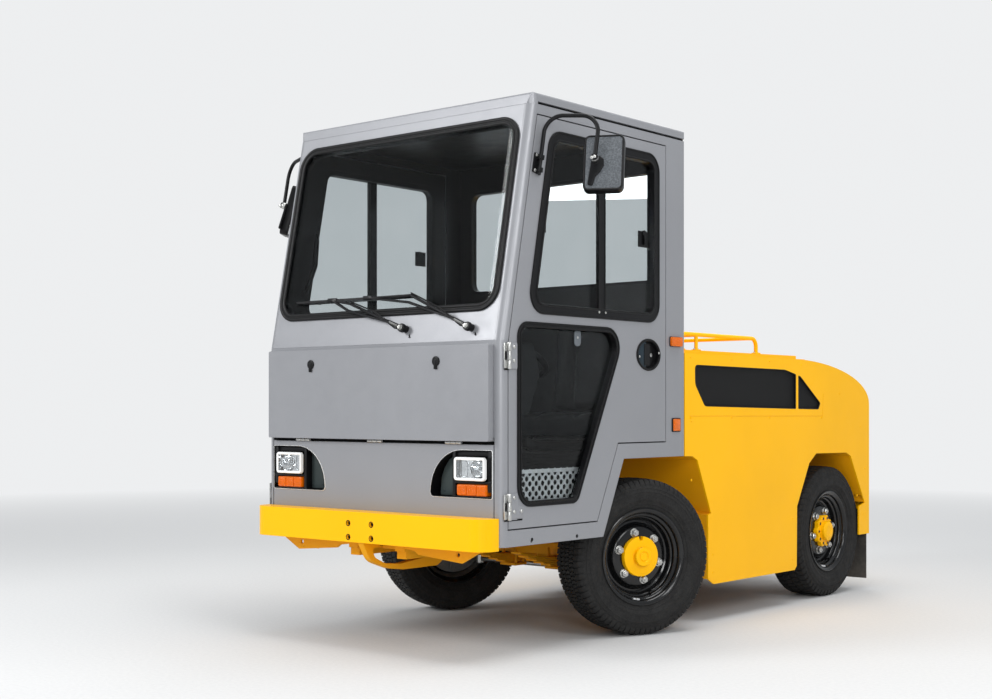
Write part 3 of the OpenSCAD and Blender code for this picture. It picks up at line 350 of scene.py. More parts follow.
class Look:
    """Builds one material under one Principled shader."""

    def __init__(self, name):
        self.material = bpy.data.materials.new(name)
        self.material.use_nodes = True
        self.tree = self.material.node_tree
        self.shader = self.tree.nodes["Principled BSDF"]
        self.place = self.add("ShaderNodeTexCoord").outputs["Object"]

    def feed(self, socket, value):
        if isinstance(value, bpy.types.NodeSocket):
            self.tree.links.new(value, socket)
        else:
            socket.default_value = value

    def add(self, kind, inputs=(), **settings):
        made = self.tree.nodes.new(kind)
        for key, value in settings.items():
            setattr(made, key, value)
        for key, value in dict(inputs).items():
            self.feed(made.inputs[key], value)
        return made

    def noise(self, scale, detail=3.0, rough=0.55, vector=None):
        inputs = {"Vector": vector or self.place, "Scale": scale, "Detail": detail, "Roughness": rough}
        return self.add("ShaderNodeTexNoise", inputs).outputs["Fac"]

    def range(self, value, a, b, c, d):
        """Maps a..b of the value to c..d, without going past them."""
        inputs = {"Value": value, "From Min": a, "From Max": b, "To Min": c, "To Max": d}
        return self.add("ShaderNodeMapRange", inputs).outputs[0]

    def cloud(self, c, d, scale, detail, rough=0.55, a=0.3, b=0.7):
        """Noise that runs from c to d."""
        return self.range(self.noise(scale, detail, rough), a, b, c, d)

    def math(self, kind, a, b=0.0):
        return self.add("ShaderNodeMath", {0: a, 1: b}, operation=kind).outputs[0]

    def times(self, a, b):
        return self.math("MULTIPLY", a, b)

    def wave(self, value, pitch):
        return self.math("SINE", self.times(value, math.tau / pitch))

    def mix(self, share, a, b, kind="MIX"):
        made = self.add("ShaderNodeMix", {"Factor": share, 6: a, 7: b}, data_type="RGBA", blend_type=kind)
        return made.outputs[2]

    def xyz(self):
        return self.add("ShaderNodeSeparateXYZ", {"Vector": self.place}).outputs

    def bump(self, height, strength, distance, edge=0.0, under=None):
        """A bump over edges that are rounded by a radius, or over another normal."""
        inputs = {"Height": height, "Strength": strength, "Distance": distance}
        if edge or under:
            inputs["Normal"] = under or self.round_edges(edge)
        return self.add("ShaderNodeBump", inputs).outputs[0]

    def round_edges(self, radius):
        return self.add("ShaderNodeBevel", {"Radius": radius}, samples=4).outputs[0]

    def finish(self, **sockets):
        for key, value in sockets.items():
            self.feed(self.shader.inputs[SOCKETS[key]], value)
        return self.material


def dusty(look, color, dust, top, share):
    """Road dust that fades out towards a height, in patches."""
    fade = look.range(look.xyz()[2], 0.02, top, share, 0.0)
    return look.mix(look.times(fade, look.cloud(0.15, 1.0, 9.0, 6.0, 0.7, 0.35, 0.75)), color, dust)


def sheet_paint(name, color, grain, rough, dust=0.0, lining=False, spec=0.15, **sockets):
    """Paint on sheet metal, with rounded edges, a fine grain and slow changes of tone."""
    look = Look(name)
    tone = look.cloud(0.96, 1.03, 1.6, 3.0, 0.6)
    both = look.times(tone, look.cloud(1 - grain, 1 + grain, 900.0, 2.0, 0.7))
    gray = look.add("ShaderNodeCombineColor", {0: both, 1: both, 2: both}).outputs[0]
    shade = look.mix(1.0, color, gray, "MULTIPLY")
    edge = look.round_edges(0.0022)
    true = look.add("ShaderNodeNewGeometry").outputs["True Normal"]
    flat = look.add("ShaderNodeVectorMath", {0: edge, 1: true}, operation="DOT_PRODUCT").outputs["Value"]
    worn = look.range(flat, 0.86, 0.97, 0.15, 0.0)
    chips = look.times(worn, look.cloud(0.0, 1.0, 60.0, 4.0, 0.7, 0.58, 0.66))
    shade = dusty(look, look.mix(chips, shade, srgb(215, 212, 205)), srgb(150, 140, 125), 0.9, dust)
    if lining:
        shade = look.mix(inside_cab(look), shade, srgb(13, 13, 15))
    matt = look.cloud(rough - 0.04, rough + 0.06, 14.0, 5.0, 0.65)
    normal = look.bump(look.noise(420.0, 2.0, 0.5), 0.10, 0.0006, under=edge)
    return look.finish(color=shade, rough=matt, normal=normal, coat_rough=0.08, spec=spec, **sockets)


def inside_cab(look):
    """1 on what faces the cab's inside, where it is lined in black."""
    x, y, z = look.xyz()
    y = look.math("SUBTRACT", y, FRONT_Y)
    lean = look.math("MAXIMUM", look.math("SUBTRACT", z, KINK_Z * MM), 0.0)
    depth = look.math("SUBTRACT", y, look.times(lean, SLOPE))
    made = look.math("LESS_THAN", look.math("ABSOLUTE", x), (INNER_X + 0.4) * MM)
    for kind, value, limit in (
        ("GREATER_THAN", depth, WALL - 0.8),
        ("LESS_THAN", y, CAB_L - WALL + 0.5),
        ("LESS_THAN", z, ROOF_LOW_Z + 0.2),
    ):
        made = look.times(made, look.math(kind, value, limit * MM))
    return made


def plastic(name, color, rough, grain=900.0, depth=0.0004):
    """Moulded plastic or powder coat, with a fine grain."""
    look = Look(name)
    shade = look.mix(look.cloud(0.0, 1.0, 7.0, 4.0), color, scaled(color, 1.35, 0.001))
    matt = look.cloud(rough - 0.05, rough + 0.07, 30.0, 4.0)
    normal = look.bump(look.noise(grain, 3.0, 0.6), 0.35, depth, 0.0012)
    return look.finish(color=shade, rough=matt, normal=normal, spec=0.22)


def gloss_black(name):
    """Gloss black paint, with light orange peel and a little dust."""
    look = Look(name)
    shade = dusty(look, srgb(8, 9, 11), srgb(90, 84, 76), 0.55, 0.06)
    matt = look.cloud(0.16, 0.28, 25.0, 5.0)
    normal = look.bump(look.noise(180.0, 2.0, 0.5), 0.06, 0.0008, 0.0015)
    return look.finish(color=shade, rough=matt, normal=normal, coat=0.35, coat_rough=0.06, spec=0.3)


def rubber(name, color, rough, dust=0.0):
    """Extruded rubber, slightly blotchy."""
    look = Look(name)
    shade = look.mix(look.cloud(0.0, 1.0, 22.0, 5.0, 0.65), color, scaled(color, 1.5, 0.001))
    shade = dusty(look, shade, srgb(125, 118, 108), 1.2, dust) if dust else shade
    matt = look.cloud(rough - 0.08, rough + 0.08, 60.0, 4.0)
    return look.finish(color=shade, rough=matt, normal=look.bump(look.noise(700.0), 0.25, 0.0004), spec=0.2)


def tyre_rubber(name):
    """Tyre rubber, blotched and scuffed."""
    look = Look(name)
    shade = look.mix(look.cloud(0.0, 1.0, 16.0, 6.0, 0.7, 0.3, 0.72), srgb(27, 27, 28), srgb(41, 41, 41))
    scuffs = look.times(look.cloud(0.0, 1.0, 140.0, 4.0, 0.7, 0.35), 0.3)
    shade = look.mix(scuffs, shade, srgb(70, 68, 65))
    normal = look.bump(look.noise(520.0, 4.0, 0.65), 0.4, 0.0006)
    return look.finish(color=shade, rough=look.cloud(0.62, 0.85, 40.0, 5.0), normal=normal, spec=0.14)


def metal(name, color, rough, streak=0.0, tarnish=0.0):
    """Bare or plated metal, cloudy, with streaks where it is brushed."""
    look = Look(name)
    shade = look.mix(look.cloud(0.0, 1.0, 45.0, 6.0, 0.7, 0.35), color, scaled(color, 0.72))
    if tarnish:
        shade = look.mix(look.cloud(0.0, tarnish, 30.0, 8.0, 0.75, 0.55, 0.72), shade, srgb(92, 66, 48))
    matt = look.cloud(rough - 0.07, rough + 0.1, 160.0, 4.0)
    brushed = {"Vector": look.place, "Scale": (1, 1, 14)}
    along = look.add("ShaderNodeMapping", brushed).outputs[0] if streak else None
    normal = look.bump(look.noise(320.0, 3.0, 0.6, along), 0.12 + streak, 0.0004, 0.0008)
    return look.finish(color=shade, rough=matt, metal=1.0, normal=normal)


def pane(name):
    """Tinted safety glass with a faint haze."""
    look = Look(name)
    shade = look.mix(look.noise(3.0), (0.66, 0.70, 0.71, 1), (0.73, 0.76, 0.77, 1))
    haze = look.cloud(0.0, 0.05, 25.0, 6.0, 0.7, 0.45, 0.8)
    return look.finish(color=shade, rough=haze, clear=1.0, ior=1.16)


def lens(name, color, clear, rough, flute, rows, glow=0.0, coat=0.1, spec=0.25):
    """A moulded lens, fluted inside."""
    look = Look(name)
    x, _, z = look.xyz()
    height = look.math("ADD", look.times(look.wave(x, flute), 0.5), look.times(look.wave(z, rows), 0.5))
    shade = look.mix(look.cloud(0.0, 0.35, 60.0, 3.0), color, scaled(color, 0.7))
    return look.finish(
        color=shade, rough=rough, clear=clear, normal=look.bump(height, 0.5, 0.0012), ior=1.49,
        coat=coat, glow=color, glow_strength=glow, spec=spec,
    )


def speckled(name):
    """Grey textured plastic of a mirror's back, worn lighter in specks."""
    look = Look(name)
    fine = look.cloud(0.0, 1.0, 170.0, 5.0, 0.75, 0.42, 0.66)
    shade = look.mix(fine, srgb(66, 70, 74), srgb(112, 116, 120))
    shade = look.mix(look.cloud(0.0, 0.45, 22.0, 4.0, 0.6), shade, srgb(78, 82, 87))
    normal = look.bump(look.noise(420.0, 4.0, 0.7), 0.5, 0.0006)
    return look.finish(color=shade, rough=0.5, spec=0.3, normal=normal)


def vinyl(name):
    """Black grained vinyl with a soft sheen."""
    look = Look(name)
    where = {"Vector": look.place, "Scale": 520.0}
    cells = look.add("ShaderNodeTexVoronoi", where, feature="DISTANCE_TO_EDGE").outputs["Distance"]
    grain = look.range(cells, 0.0, 0.12, 0.0, 1.0)
    shade = look.mix(look.cloud(0.0, 1.0, 9.0, 5.0), srgb(18, 18, 20), srgb(30, 30, 32))
    matt = look.cloud(0.42, 0.58, 30.0, 4.0)
    return look.finish(color=shade, rough=matt, normal=look.bump(grain, 0.45, 0.0005), sheen=0.05, spec=0.25)


def wire_mesh(name):
    """Fine black woven wire: a weave of dark points and light points that are painted glints."""
    look = Look(name)
    _, y, z = look.xyz()
    pitch = 0.0032
    along, over = (look.wave(look.math(kind, y, z), pitch) for kind in ("ADD", "SUBTRACT"))
    weave = look.times(along, over)
    # The light points are painted glints on the wires.
    shine = look.cloud(0.0, 1.0, 260.0, 3.0, 0.8, 0.55, 0.8)
    glint_dots = look.times(look.range(weave, 0.2, 0.9, 0.0, 1.0), shine)
    shade = look.mix(glint_dots, srgb(9, 9, 10), srgb(88, 88, 90))
    return look.finish(color=shade, rough=0.55, spec=0.2, normal=look.bump(weave, 0.6, 0.0008))


def ribbed_mat(name):
    """Dark rubber matting with ribs across."""
    look = Look(name)
    ribs = look.wave(look.xyz()[1], 0.009)
    shade = look.mix(look.cloud(0.0, 1.0, 12.0, 5.0, 0.7, 0.35), srgb(20, 20, 21), srgb(40, 38, 36))
    return look.finish(color=shade, rough=0.8, spec=0.15, normal=look.bump(ribs, 0.5, 0.001))


LOOKS = {
    "cab_paint": sheet_paint(
        "cab_paint", srgb(147, 148, 152), 0.1, 0.36, lining=True, spec=0.4, coat=0.05, metal=0.3
    ),
    "body_paint": sheet_paint("body_paint", srgb(255, 188, 0), 0.01, 0.34),
    "chassis_paint": sheet_paint("chassis_paint", srgb(240, 165, 0), 0.02, 0.5, dust=0.1),
    "black_trim": plastic("black_trim", srgb(10, 10, 12), 0.4),
    "black_metal": plastic("black_metal", srgb(10, 10, 12), 0.32, 500.0, 0.0003),
    "gray_plastic": plastic("gray_plastic", srgb(40, 42, 45), 0.45, 700.0, 0.0006),
    "strap_gray": plastic("strap_gray", srgb(96, 101, 106), 0.5, 700.0, 0.0006),
    "paddle": plastic("paddle", srgb(30, 42, 50), 0.4),
    # Grey metal of the brake shields, also given to the rims' black barrels as painted light.
    "shield_and_lit_barrel": metal("brake_shield", (0.20, 0.21, 0.21, 1), 0.55, tarnish=0.15),
    "rubber_seal": rubber("rubber_seal", srgb(11, 11, 12), 0.42),
    # Near-black matte fill for gaps, grooves and holes: painted shade.
    "shade_black": rubber("shade_black", srgb(7, 7, 8), 0.85),
    "recess_plate": plastic("recess_plate", srgb(50, 58, 58), 0.5),
    # White for painted highlights on the headlamps' black rings and the recesses' edges.
    "highlight_white": plastic("highlight_white", srgb(228, 228, 226), 0.35),
    "speckled": speckled("speckled"),
    "mud_rubber": rubber("mud_rubber", srgb(36, 36, 37), 0.75, 0.5),
    "pane": pane("pane"),
    "lens_clear": lens("lens_clear", (0.95, 0.97, 0.98, 1), 1.0, 0.02, 0.03, 0.5, 0.0, 0.0, 0.5),
    "lens_amber": lens("lens_amber", srgb(240, 118, 6), 0.3, 0.14, 0.008, 0.01, 0.06),
    "lens_red": lens("lens_red", srgb(170, 10, 8), 0.3, 0.14, 0.008, 0.01, 0.04),
    "reflector": metal("reflector", (0.86, 0.87, 0.88, 1), 0.1),
    "rim_black": gloss_black("rim_black"),
    "tyre_rubber": tyre_rubber("tyre_rubber"),
    "steel": metal("zinc_steel", (0.62, 0.62, 0.6, 1), 0.32),
    "brushed": metal("brushed_plate", (0.86, 0.87, 0.88, 1), 0.5, 0.1),
    "iron": metal("cast_iron", (0.10, 0.10, 0.10, 1), 0.6, tarnish=0.6),
    "seat_cover": vinyl("seat_vinyl"),
    "grey_floor": ribbed_mat("floor_mat"),
    "wire_mesh": wire_mesh("wire_mesh"),
    "mirror_glass": metal("mirror_glass", (0.85, 0.87, 0.88, 1), 0.08),
}
SPECIAL = {"side_grilles": "wire_mesh", "mudflaps": "mud_rubber"}


def dress_nodes():
    """Gives every carried-over node its finish, by the record's slots."""
    for part in frame["record"]["subparts"]:
        node = frame["nodes"][part["node"]]
        node.data.materials.clear()
        node.data.materials.append(LOOKS[SPECIAL.get(part["node"], part["material_slot"])])


# Wheels, in frames with the third axis outward, the second one up and the origin in the centre

TREAD_R = TYRE_R - 9
CARCASS = [
    (189, 62), (189, 74), (192.1, 76.5), (199.4, 78), (206.7, 81), (210.8, 84.5), (216, 85), (219.1, 86.5),
    (222.3, 91), (224.3, 91.6), (226.4, 91.2), (238.9, 97.4), (241, 98.9), (244.1, 99.2), (246.2, 98.4),
    (259.7, 101), (272.2, 101.4), (273.2, 102.4), (276.3, 102.4), (277.3, 101), (287.7, 98.6), (288.8, 99.8),
    (291.9, 99.2), (292.9, 97.2), (307.5, 91.5), (316.8, 85.5), (TREAD_R - 1, 81), (TREAD_R, 74),
]
RIM = [
    (181, 60), (188, 62), (188.5, 72), (191, 77), (197, 81.5), (203, 83), (205, 86.5), (201, 88), (194, 86),
    (186, 80), (183, 74), (182, 66), (179, 63), (173, 61.5), (170.5, 59), (169, 54), (168.5, 47), (163, 44),
    (160.5, 40), (159.5, 30), (156, 22), (150, 18), (143, 19), (137, 24), (132.5, 31), (128, 38),
    (122.5, 42.5), (116, 44), (60, 44), (60, 30), (112, 30), (124, 26), (131, 18), (142, 10), (155, 6),
    (160, 0), (163, -44), (181, -56), (181, 60),
]
RIM_BACK = [
    (181, -60), (188, -62), (188, -74), (197, -83), (205, -87), (197, -88), (183, -76), (182, -60),
    (181, -60),
]
BARREL = [(158, -2), (161, -45), (177, -57), (178.5, -55.5), (162.5, -43), (159.5, -2), (158, -2)]
BRAKE_SHIELD = [
    (42, -55), (60, -60), (110, -62), (140, -57), (153, -56), (154, -51), (139, -52), (108, -57), (60, -55),
    (42, -51), (42, -55),
]
STUD_R = 102.5
DISC_Z = 44
HUB_Z = 66


def wheel_piece(name, corner, bm, look, slot=None, sharp=38, body=None):
    """A piece in the frame of the wheel at a corner; it rides on the wheel or on another body."""
    joint = next(j for j in frame["joints"] if j["name"] == "spin_" + corner)
    out = Vector(joint["axis"]) * (1 if "left" in corner else -1)
    up = Vector((0, 0, 1))
    place = basis(up.cross(out), up, out, joint["pos_m"]) @ Matrix.Scale(MM, 4)
    return piece(name + corner, bm, look, body or "wheel_" + corner, slot, place, sharp)


def crown(x):
    """Radius of the tread's surface at x across it, falling over the shoulder."""
    return TYRE_R - 3.2 * (abs(x) / 83) ** 3 - 17 * max(0.0, (abs(x) - 80) / 15) ** 2


def tread_block(bm, x0, x1, a0, a1, wave):
    """One block of tread between two sides and two angles; wave shifts its ends across it."""
    inset, rows = 1.3, 4
    rings = []
    for d, drop in ((0.0, 11.5), (0.0, 1.4), (inset, 0.0)):
        e = d / TYRE_R
        xs = [x0 + d + (x1 - x0 - 2 * d) * k / rows for k in range(rows + 1)]
        ends = [(x, a0 + e + wave(x)) for x in xs] + [(x, a1 - e + wave(x)) for x in xs[::-1]]
        radii = [crown(x) - drop for x, _ in ends]
        rings.append([(r * math.sin(a), r * math.cos(a), x) for r, (x, a) in zip(radii, ends)])
    base, _, top = loft(bm, rings, around=False, caps=False)
    for k in range(rows):
        bm.faces.new((top[k], top[k + 1], top[-2 - k], top[-1 - k]))
    for k in range(rows):
        bm.faces.new((base[-1 - k], base[-2 - k], base[k + 1], base[k]))


def tyre(corner, bands, count, gap, wave):
    """A tyre with a moulded wall and a tread of separate blocks."""
    bm = bmesh.new()
    profile = CARCASS + [(r, -x) for r, x in reversed(CARCASS)]
    lathe(bm, profile + [(181, -62), (181, 62), profile[0]], n=144)
    pitch = math.tau / count
    for k, (x0, x1, shift, pieces) in enumerate(bands):
        for i in range(count * pieces):
            a0 = (i / pieces + shift) * pitch
            a1 = a0 + pitch / pieces - gap / TYRE_R
            tread_block(bm, x0, x1, a0, a1, lambda x: wave(x, k) / TYRE_R)
    made = wheel_piece("tyre_tread_", corner, bm, "tyre_rubber", sharp=35)
    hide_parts("tyre_" + corner)


def rim(corner):
    """Black steel wheel with stepped rings, its nuts, valve and balance weight."""
    front = "front" in corner
    bm = bmesh.new()
    lathe(bm, RIM, n=96)
    lathe(bm, RIM_BACK, n=96)
    made = wheel_piece("wheel_disc_", corner, bm, "rim_black", sharp=30)
    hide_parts("rim_" + corner)
    # The barrel takes the grey shield finish instead of the rim's black: painted light on the rim's inner side.
    bm = bmesh.new()
    lathe(bm, BARREL, n=96)
    wheel_piece("wheel_barrel_", corner, bm, "shield_and_lit_barrel", "rim_black")
    if front:
        bm = bmesh.new()
        lathe(bm, BRAKE_SHIELD, n=72)
        for k in range(8):
            box(bm, (-7, 78, -66), (7, 134, -59), turned(45 * k + 10, "Z"), 2.5)
        wheel_piece("brake_shield_", corner, bm, "shield_and_lit_barrel", "iron", body=corner.replace("front", "knuckle"))
    bm = bmesh.new()
    for k in range(6):
        a = math.radians(60 * k + (-13 if front else 18))
        nut(bm, (STUD_R * math.sin(a), STUD_R * math.cos(a), DISC_Z), LOCAL, 27, 15, 7, 19)
    wheel_piece("wheel_nuts_", corner, bm, "steel")
    bm = bmesh.new()
    for degrees in (-187, -192.5):
        box(bm, (-8, 176, 62), (8, 184, 77), turned(degrees, "Z"), 2.5)
    wheel_piece("wheel_weight_", corner, bm, "brushed", "steel")
    bm = bmesh.new()
    turn = turned(-160, "Z")
    tube(bm, [(0, 164, 30), (0, 160, 46), (0, 156, 60)], [5.5, 4, 3.6], turn)
    tube(bm, [(0, 156, 59), (0, 153, 67)], 4.6, turn)
    wheel_piece("wheel_valve_", corner, bm, "rubber_seal")


def front_hub(corner):
    """Yellow hub disc with a notch at its top and a raised cap in its middle."""
    bm = bmesh.new()
    outline = arc((0, 0), (85, 85), 97, 443, 72) + arc((0, 74), (8, 8), -10, -170, 8)
    plate(bm, outline, DISC_Z - 6, HUB_Z, LOCAL, 3.0)
    lathe(bm, [(40, 65), (40, 84), (37.5, 87), (24, 88), (22.5, 87), (21, 84.5), (19, 84), (16, 87), (0, 87)])
    wheel_piece("hub_", corner, bm, "body_paint", sharp=30)


def rear_hub(corner):
    """Yellow scalloped drive flange with a ring of bolts."""
    lobes = 10
    bm = bmesh.new()
    outline = []
    for k in range(lobes * 12):
        a = math.tau * k / (lobes * 12)
        r = 77 + 5.5 * math.cos(lobes * a)
        outline.append((r * math.cos(a), r * math.sin(a)))
    plate(bm, outline, DISC_Z - 5, HUB_Z, LOCAL, 2.5)
    lathe(bm, [(50, 65), (49, 84), (46, 88), (40, 90), (24, 91), (22, 89), (0, 89)])
    bolts = bmesh.new()
    for x, y in ring_points(66, lobes):
        lathe(bm, [(9.5, 65), (9.5, 68), (8, 69)], at(x, y), 20)
        nut(bolts, (x, y, 64), LOCAL, 11, 6)
    wheel_piece("hub_", corner, bm, "body_paint", sharp=30)
    wheel_piece("hub_bolts_", corner, bolts, "iron")


def front_wave(x, band):
    """Lateral cuts of the road tread: slanted on the shoulders, bent in the middle."""
    return 0.16 * x if band in (0, 4) else 3.0 * math.sin(x / 5.0)


def rear_wave(x, band):
    """Lateral grooves of the drive tread, each bowed like a shallow bowl."""
    middle = (-62.5, -20.5, 20.5, 62.5)[band]
    return 6.0 * (((x - middle) / 19.0) ** 2 - 0.5)


# Bands of a tread: two sides, shift in pitches, blocks in a pitch
FRONT_BANDS = [
    (-95, -54, 0.0, 2), (-50, -20, 0.3, 3), (-15.5, 15.5, 0.0, 3), (20, 50, 0.6, 3), (54, 95, 0.25, 2),
]
REAR_BANDS = [(-95, -44, 0.0, 1), (-40, -2, 0.5, 1), (2, 40, 0.0, 1), (44, 95, 0.5, 1)]


def wheels():
    for _, hand in SIDES:
        tyre("front_" + hand, FRONT_BANDS, 38, 4.6, front_wave)
        rim("front_" + hand)
        tyre("rear_" + hand, REAR_BANDS, 60, 5.0, rear_wave)
        rim("rear_" + hand)
        front_hub("front_" + hand)
        rear_hub("rear_" + hand)


# Cab windows and doors

DOOR_FRONT_Y = 41.0
DOOR_REAR_Y = 1094.5
SILL_LOW_Z = low("door_left").z
PANE_LOW_Z, PANE_TOP_Z = 1316.0, 2032.0
PANE_TOP_Y = 150 + (PANE_TOP_Z - PANE_LOW_Z) * SLOPE
UPPER = rounded([(150, PANE_LOW_Z), (1043, PANE_LOW_Z), (1043, PANE_TOP_Z), (PANE_TOP_Y, PANE_TOP_Z)], 80)
LOWER = rounded([(91, 582), (464, 582), (801, 1285), (91, 1285)], [80, 50, 85, 60])
SCREEN_H = (ROOF_LOW_Z - KINK_Z) / math.cos(LEAN)
SCREEN_OUTER = pad(39 - HALF_W, 115, HALF_W - 39, SCREEN_H - 43.6, 95, 10)
REAR_OUTER = pad(76 - HALF_W, BODY_TOP_Z + 293, HALF_W - 76, ROOF_LOW_Z - 98, 70, 10)
SEAL = [
    (-1, 4.4), (-0.6, 6.6), (1.5, 8.6), (5, 9.4), (9, 9.0), (12, 7.4), (13.5, 6.2), (16, 6.2), (18, 8.2),
    (21, 9.2), (25, 8.8), (28.5, 7.0), (30, 3.5), (26, 2.5), (4, 2.5),
]
BEAD = [(0, 3.4), (0.4, 5.4), (2.4, 6.8), (5, 7.2), (7.4, 6.4), (8.6, 4.4), (7, 3.2)]
CUP_LIP = [(0, 0.2), (0.6, 3.2), (3, 5.2), (6, 5.4), (9, 4.2), (11, 0.6), (8, 0.2)]
CUP_Y, CUP_Z = 965, 1181
HINGE_BARREL = [(0, -16), (8.2, -16), (8.8, -15), (8.8, 15), (8.2, 16), (0, 16)]
HINGE_BOLT = [(0, 6.5), (7.6, 6.5), (7.4, 8.4), (5.6, 10.6), (3.0, 11.6), (0, 11.8)]
LOW_HINGE, HIGH_HINGE = 588, 1152


def window_rubbers():
    """Moulded rubber round the windscreen and the rear window, and near-black strips in the roof's grooves as
    painted shade.
    """
    bm = bmesh.new()
    sweep_ring(bm, SCREEN_OUTER, SEAL, SCREEN)
    sweep_ring(bm, REAR_OUTER, SEAL, at(0, CAB_L) @ REAR)
    piece("window_rubbers", bm, "rubber_seal")
    # Near-black strips deep in the roof's grooves: painted shade in them.
    bm = bmesh.new()
    lo, hi = (HALF_W - 13.5, 222, ROOF_LOW_Z + 0.5), (HALF_W - 10.5, CAB_L + 8, ROOF_LOW_Z + 9.5)
    for s in (1, -1):
        box(bm, lo, hi, mirrored(s), 0.4, 1)
    piece("roof_groove_strips", bm, "shade_black", slot="rubber_seal")


def perforated(bm, place, u0, v0, columns, rows, pitch, rise, r, w0, w1):
    """A plate of diamonds with a round hole in each, in staggered rows."""
    circle = ring_points(1, 16)
    for row in range(rows):
        for column in range(columns - row % 2):
            cu, cv = u0 + (column + 0.5 * (row % 2)) * pitch, v0 - row * rise
            hole = [(cu + r * x, cv + r * y) for x, y in circle]
            reach = [1 / (abs(x) / (pitch / 2) + abs(y) / rise) for x, y in circle]
            diamond = [(cu + d * x, cv + d * y) for d, (x, y) in zip(reach, circle)]
            levels = ((hole, w0), (diamond, w0), (diamond, w1), (hole, w1))
            loft(bm, [[(*p, w) for p in outline] for outline, w in levels], place)


def doors():
    """Beads, sliding panes' frames and catches, cups, straps, hinges and kick plates."""
    for s, hand in SIDES:
        side, body = SIDE[s], "door_" + hand
        bm = bmesh.new()
        for outline, inset in ((UPPER, 32), (LOWER, 14)):
            sweep_ring(bm, outline, BEAD, side)
            sweep_ring(bm, grow(outline, -inset), BEAD, side)
        for y in (603, 646):
            box(bm, (y, PANE_LOW_Z + 38, -6), (y + 5, PANE_TOP_Z - 38, 6.4), side, 1.5)
        sweep_ring(bm, arc((CUP_Y, CUP_Z), (88, 68), 0, 360, 48)[:-1], CUP_LIP, side)
        piece("door_beads_" + hand, bm, "rubber_seal", body)

        bm = bmesh.new()
        plate(bm, pad(462, 1202, 502, 1268, 17, 8), -13, -8, side, 1.5)
        piece("door_strap_" + hand, bm, "strap_gray", body, "black_trim")
        bm = bmesh.new()
        paddle = arc((CUP_Y, CUP_Z), (74, 56), 100.8, 259.2, 24)
        paddle += arc((CUP_Y - 15, CUP_Z), (16, 54), -81, 81, 16)
        plate(bm, paddle, -14.6, -5, side, 3.0)
        piece("door_paddle_" + hand, bm, "paddle", body, "black_trim")
        bm = bmesh.new()
        for y, half in ((253, 27), (941, 35)):
            box(bm, (y - half, 1632, -14.5), (y + half, 1700, -9), side, 3)
            tube(bm, [(y, 1690, -9), (y, 1690, -2)], 13, side, 20)
            tube(bm, [(y, 1684, -6), (y, 1642, -1)], 8, side, 12, flat=0.5)
        piece("door_fittings_" + hand, bm, "black_trim", body)

        leaves, bolts, posts, slots = meshes(4)
        lathe(bolts, [(0, -14), (8.4, -14), (8.4, -12), (6.8, -11), (0, -11)], side @ at(1004, CUP_Z), 24)
        for y, z, w in (
            (480, 1236, -7.5), (606, 2006, 6.2), (606, 1342, 6.2), (650, 2006, 6.2), (650, 1342, 6.2),
            (1037, 1190, 5.0), (893, 1172, 5.0),
        ):
            screw(bolts, (y, z, w), side, 5.0, 2.4)
        for z, leaf, holes, slot_end in (
            (LOW_HINGE, [(46, -45), (124, -45), (124, -4), (88, 4), (88, 49), (46, 49)],
             ((66, 33), (66, -19), (109, -19)), 122),
            (HIGH_HINGE, rectangle(46, -48, 86, 48), ((66, 33), (66, -19)), 44),
        ):
            pin = at(s * (HALF_W + 8), 36, z)
            hinge = side @ at(0, z)
            for e in (-33.7, 33.7):
                lathe(bolts, HINGE_BARREL, pin @ at(0, 0, e), 24)
            for y, up in holes:
                lathe(bolts, HINGE_BOLT, hinge @ at(y, up), 20)
            plate(leaves, rounded(leaf, 5, 4), 0.3, 6.5, hinge, 1.0)
            lathe(posts, HINGE_BARREL, pin, 24)
            box(posts, (12, -47, 0.3), (27, 47, 5), hinge, 1.2)
            # Near-black strips under the hinge leaves: painted shade in the gaps below them.
            box(slots, (16, -54, 0.1), (slot_end, -48, 1.2), hinge, 0.3, 1)
        piece("door_bolts_" + hand, bolts, "steel", body)
        piece("hinge_leaves_" + hand, leaves, "cab_paint", body)
        piece("hinge_posts_" + hand, posts, "steel")
        piece("hinge_gap_shade_" + hand, slots, "shade_black", slot="rubber_seal")

        bm = bmesh.new()
        perforated(bm, side, 158, 706, 10, 6, 39.2, 19.4, 10.4, -27, -24.5)
        for z in (716, 600):
            box(bm, (140, z - 9, -27.4), (530, z + 6, -24.2), side, 0.8)
        piece("kick_plate_" + hand, bm, "brushed", body, "steel")


# Mirrors and wipers

MIRROR_Y, MIRROR_Z, MIRROR_ARM = 210, 1888, 214
MIRROR_RIM = [
    (-0.8, -46), (-0.8, -16), (0.6, -12.6), (3.4, -11.6), (6.4, -12.8), (7.6, -15), (7.6, -46), (6, -49),
    (1, -49),
]
MIRROR_BRACKET = [
    (-14, 20), (-16, -8), (-20, -40), (-26, -92), (-6, -96), (2, -60), (20, -40), (34, -14), (32, 12),
    (18, 24),
]


def head_place(s):
    """Frames of a mirror's ball and of its head (across it, to the rear, up), and its reach from the ball."""
    turn, clamp, reach = (28.5, 24, 32) if s > 0 else (52.25, -2, 70)
    swing = math.radians(20.5)
    rise = MIRROR_ARM * math.sin(swing)
    here = mirrored(s) @ at(
        HALF_W + 16 + MIRROR_ARM * math.cos(swing),
        MIRROR_Y + rise * math.cos(LEAN) + clamp * math.sin(LEAN),
        MIRROR_Z - rise * math.sin(LEAN) + clamp * math.cos(LEAN),
    ) @ turned(turn, "Z")
    return here, here @ turned(-16, "X") @ at(reach, 0, -12), reach


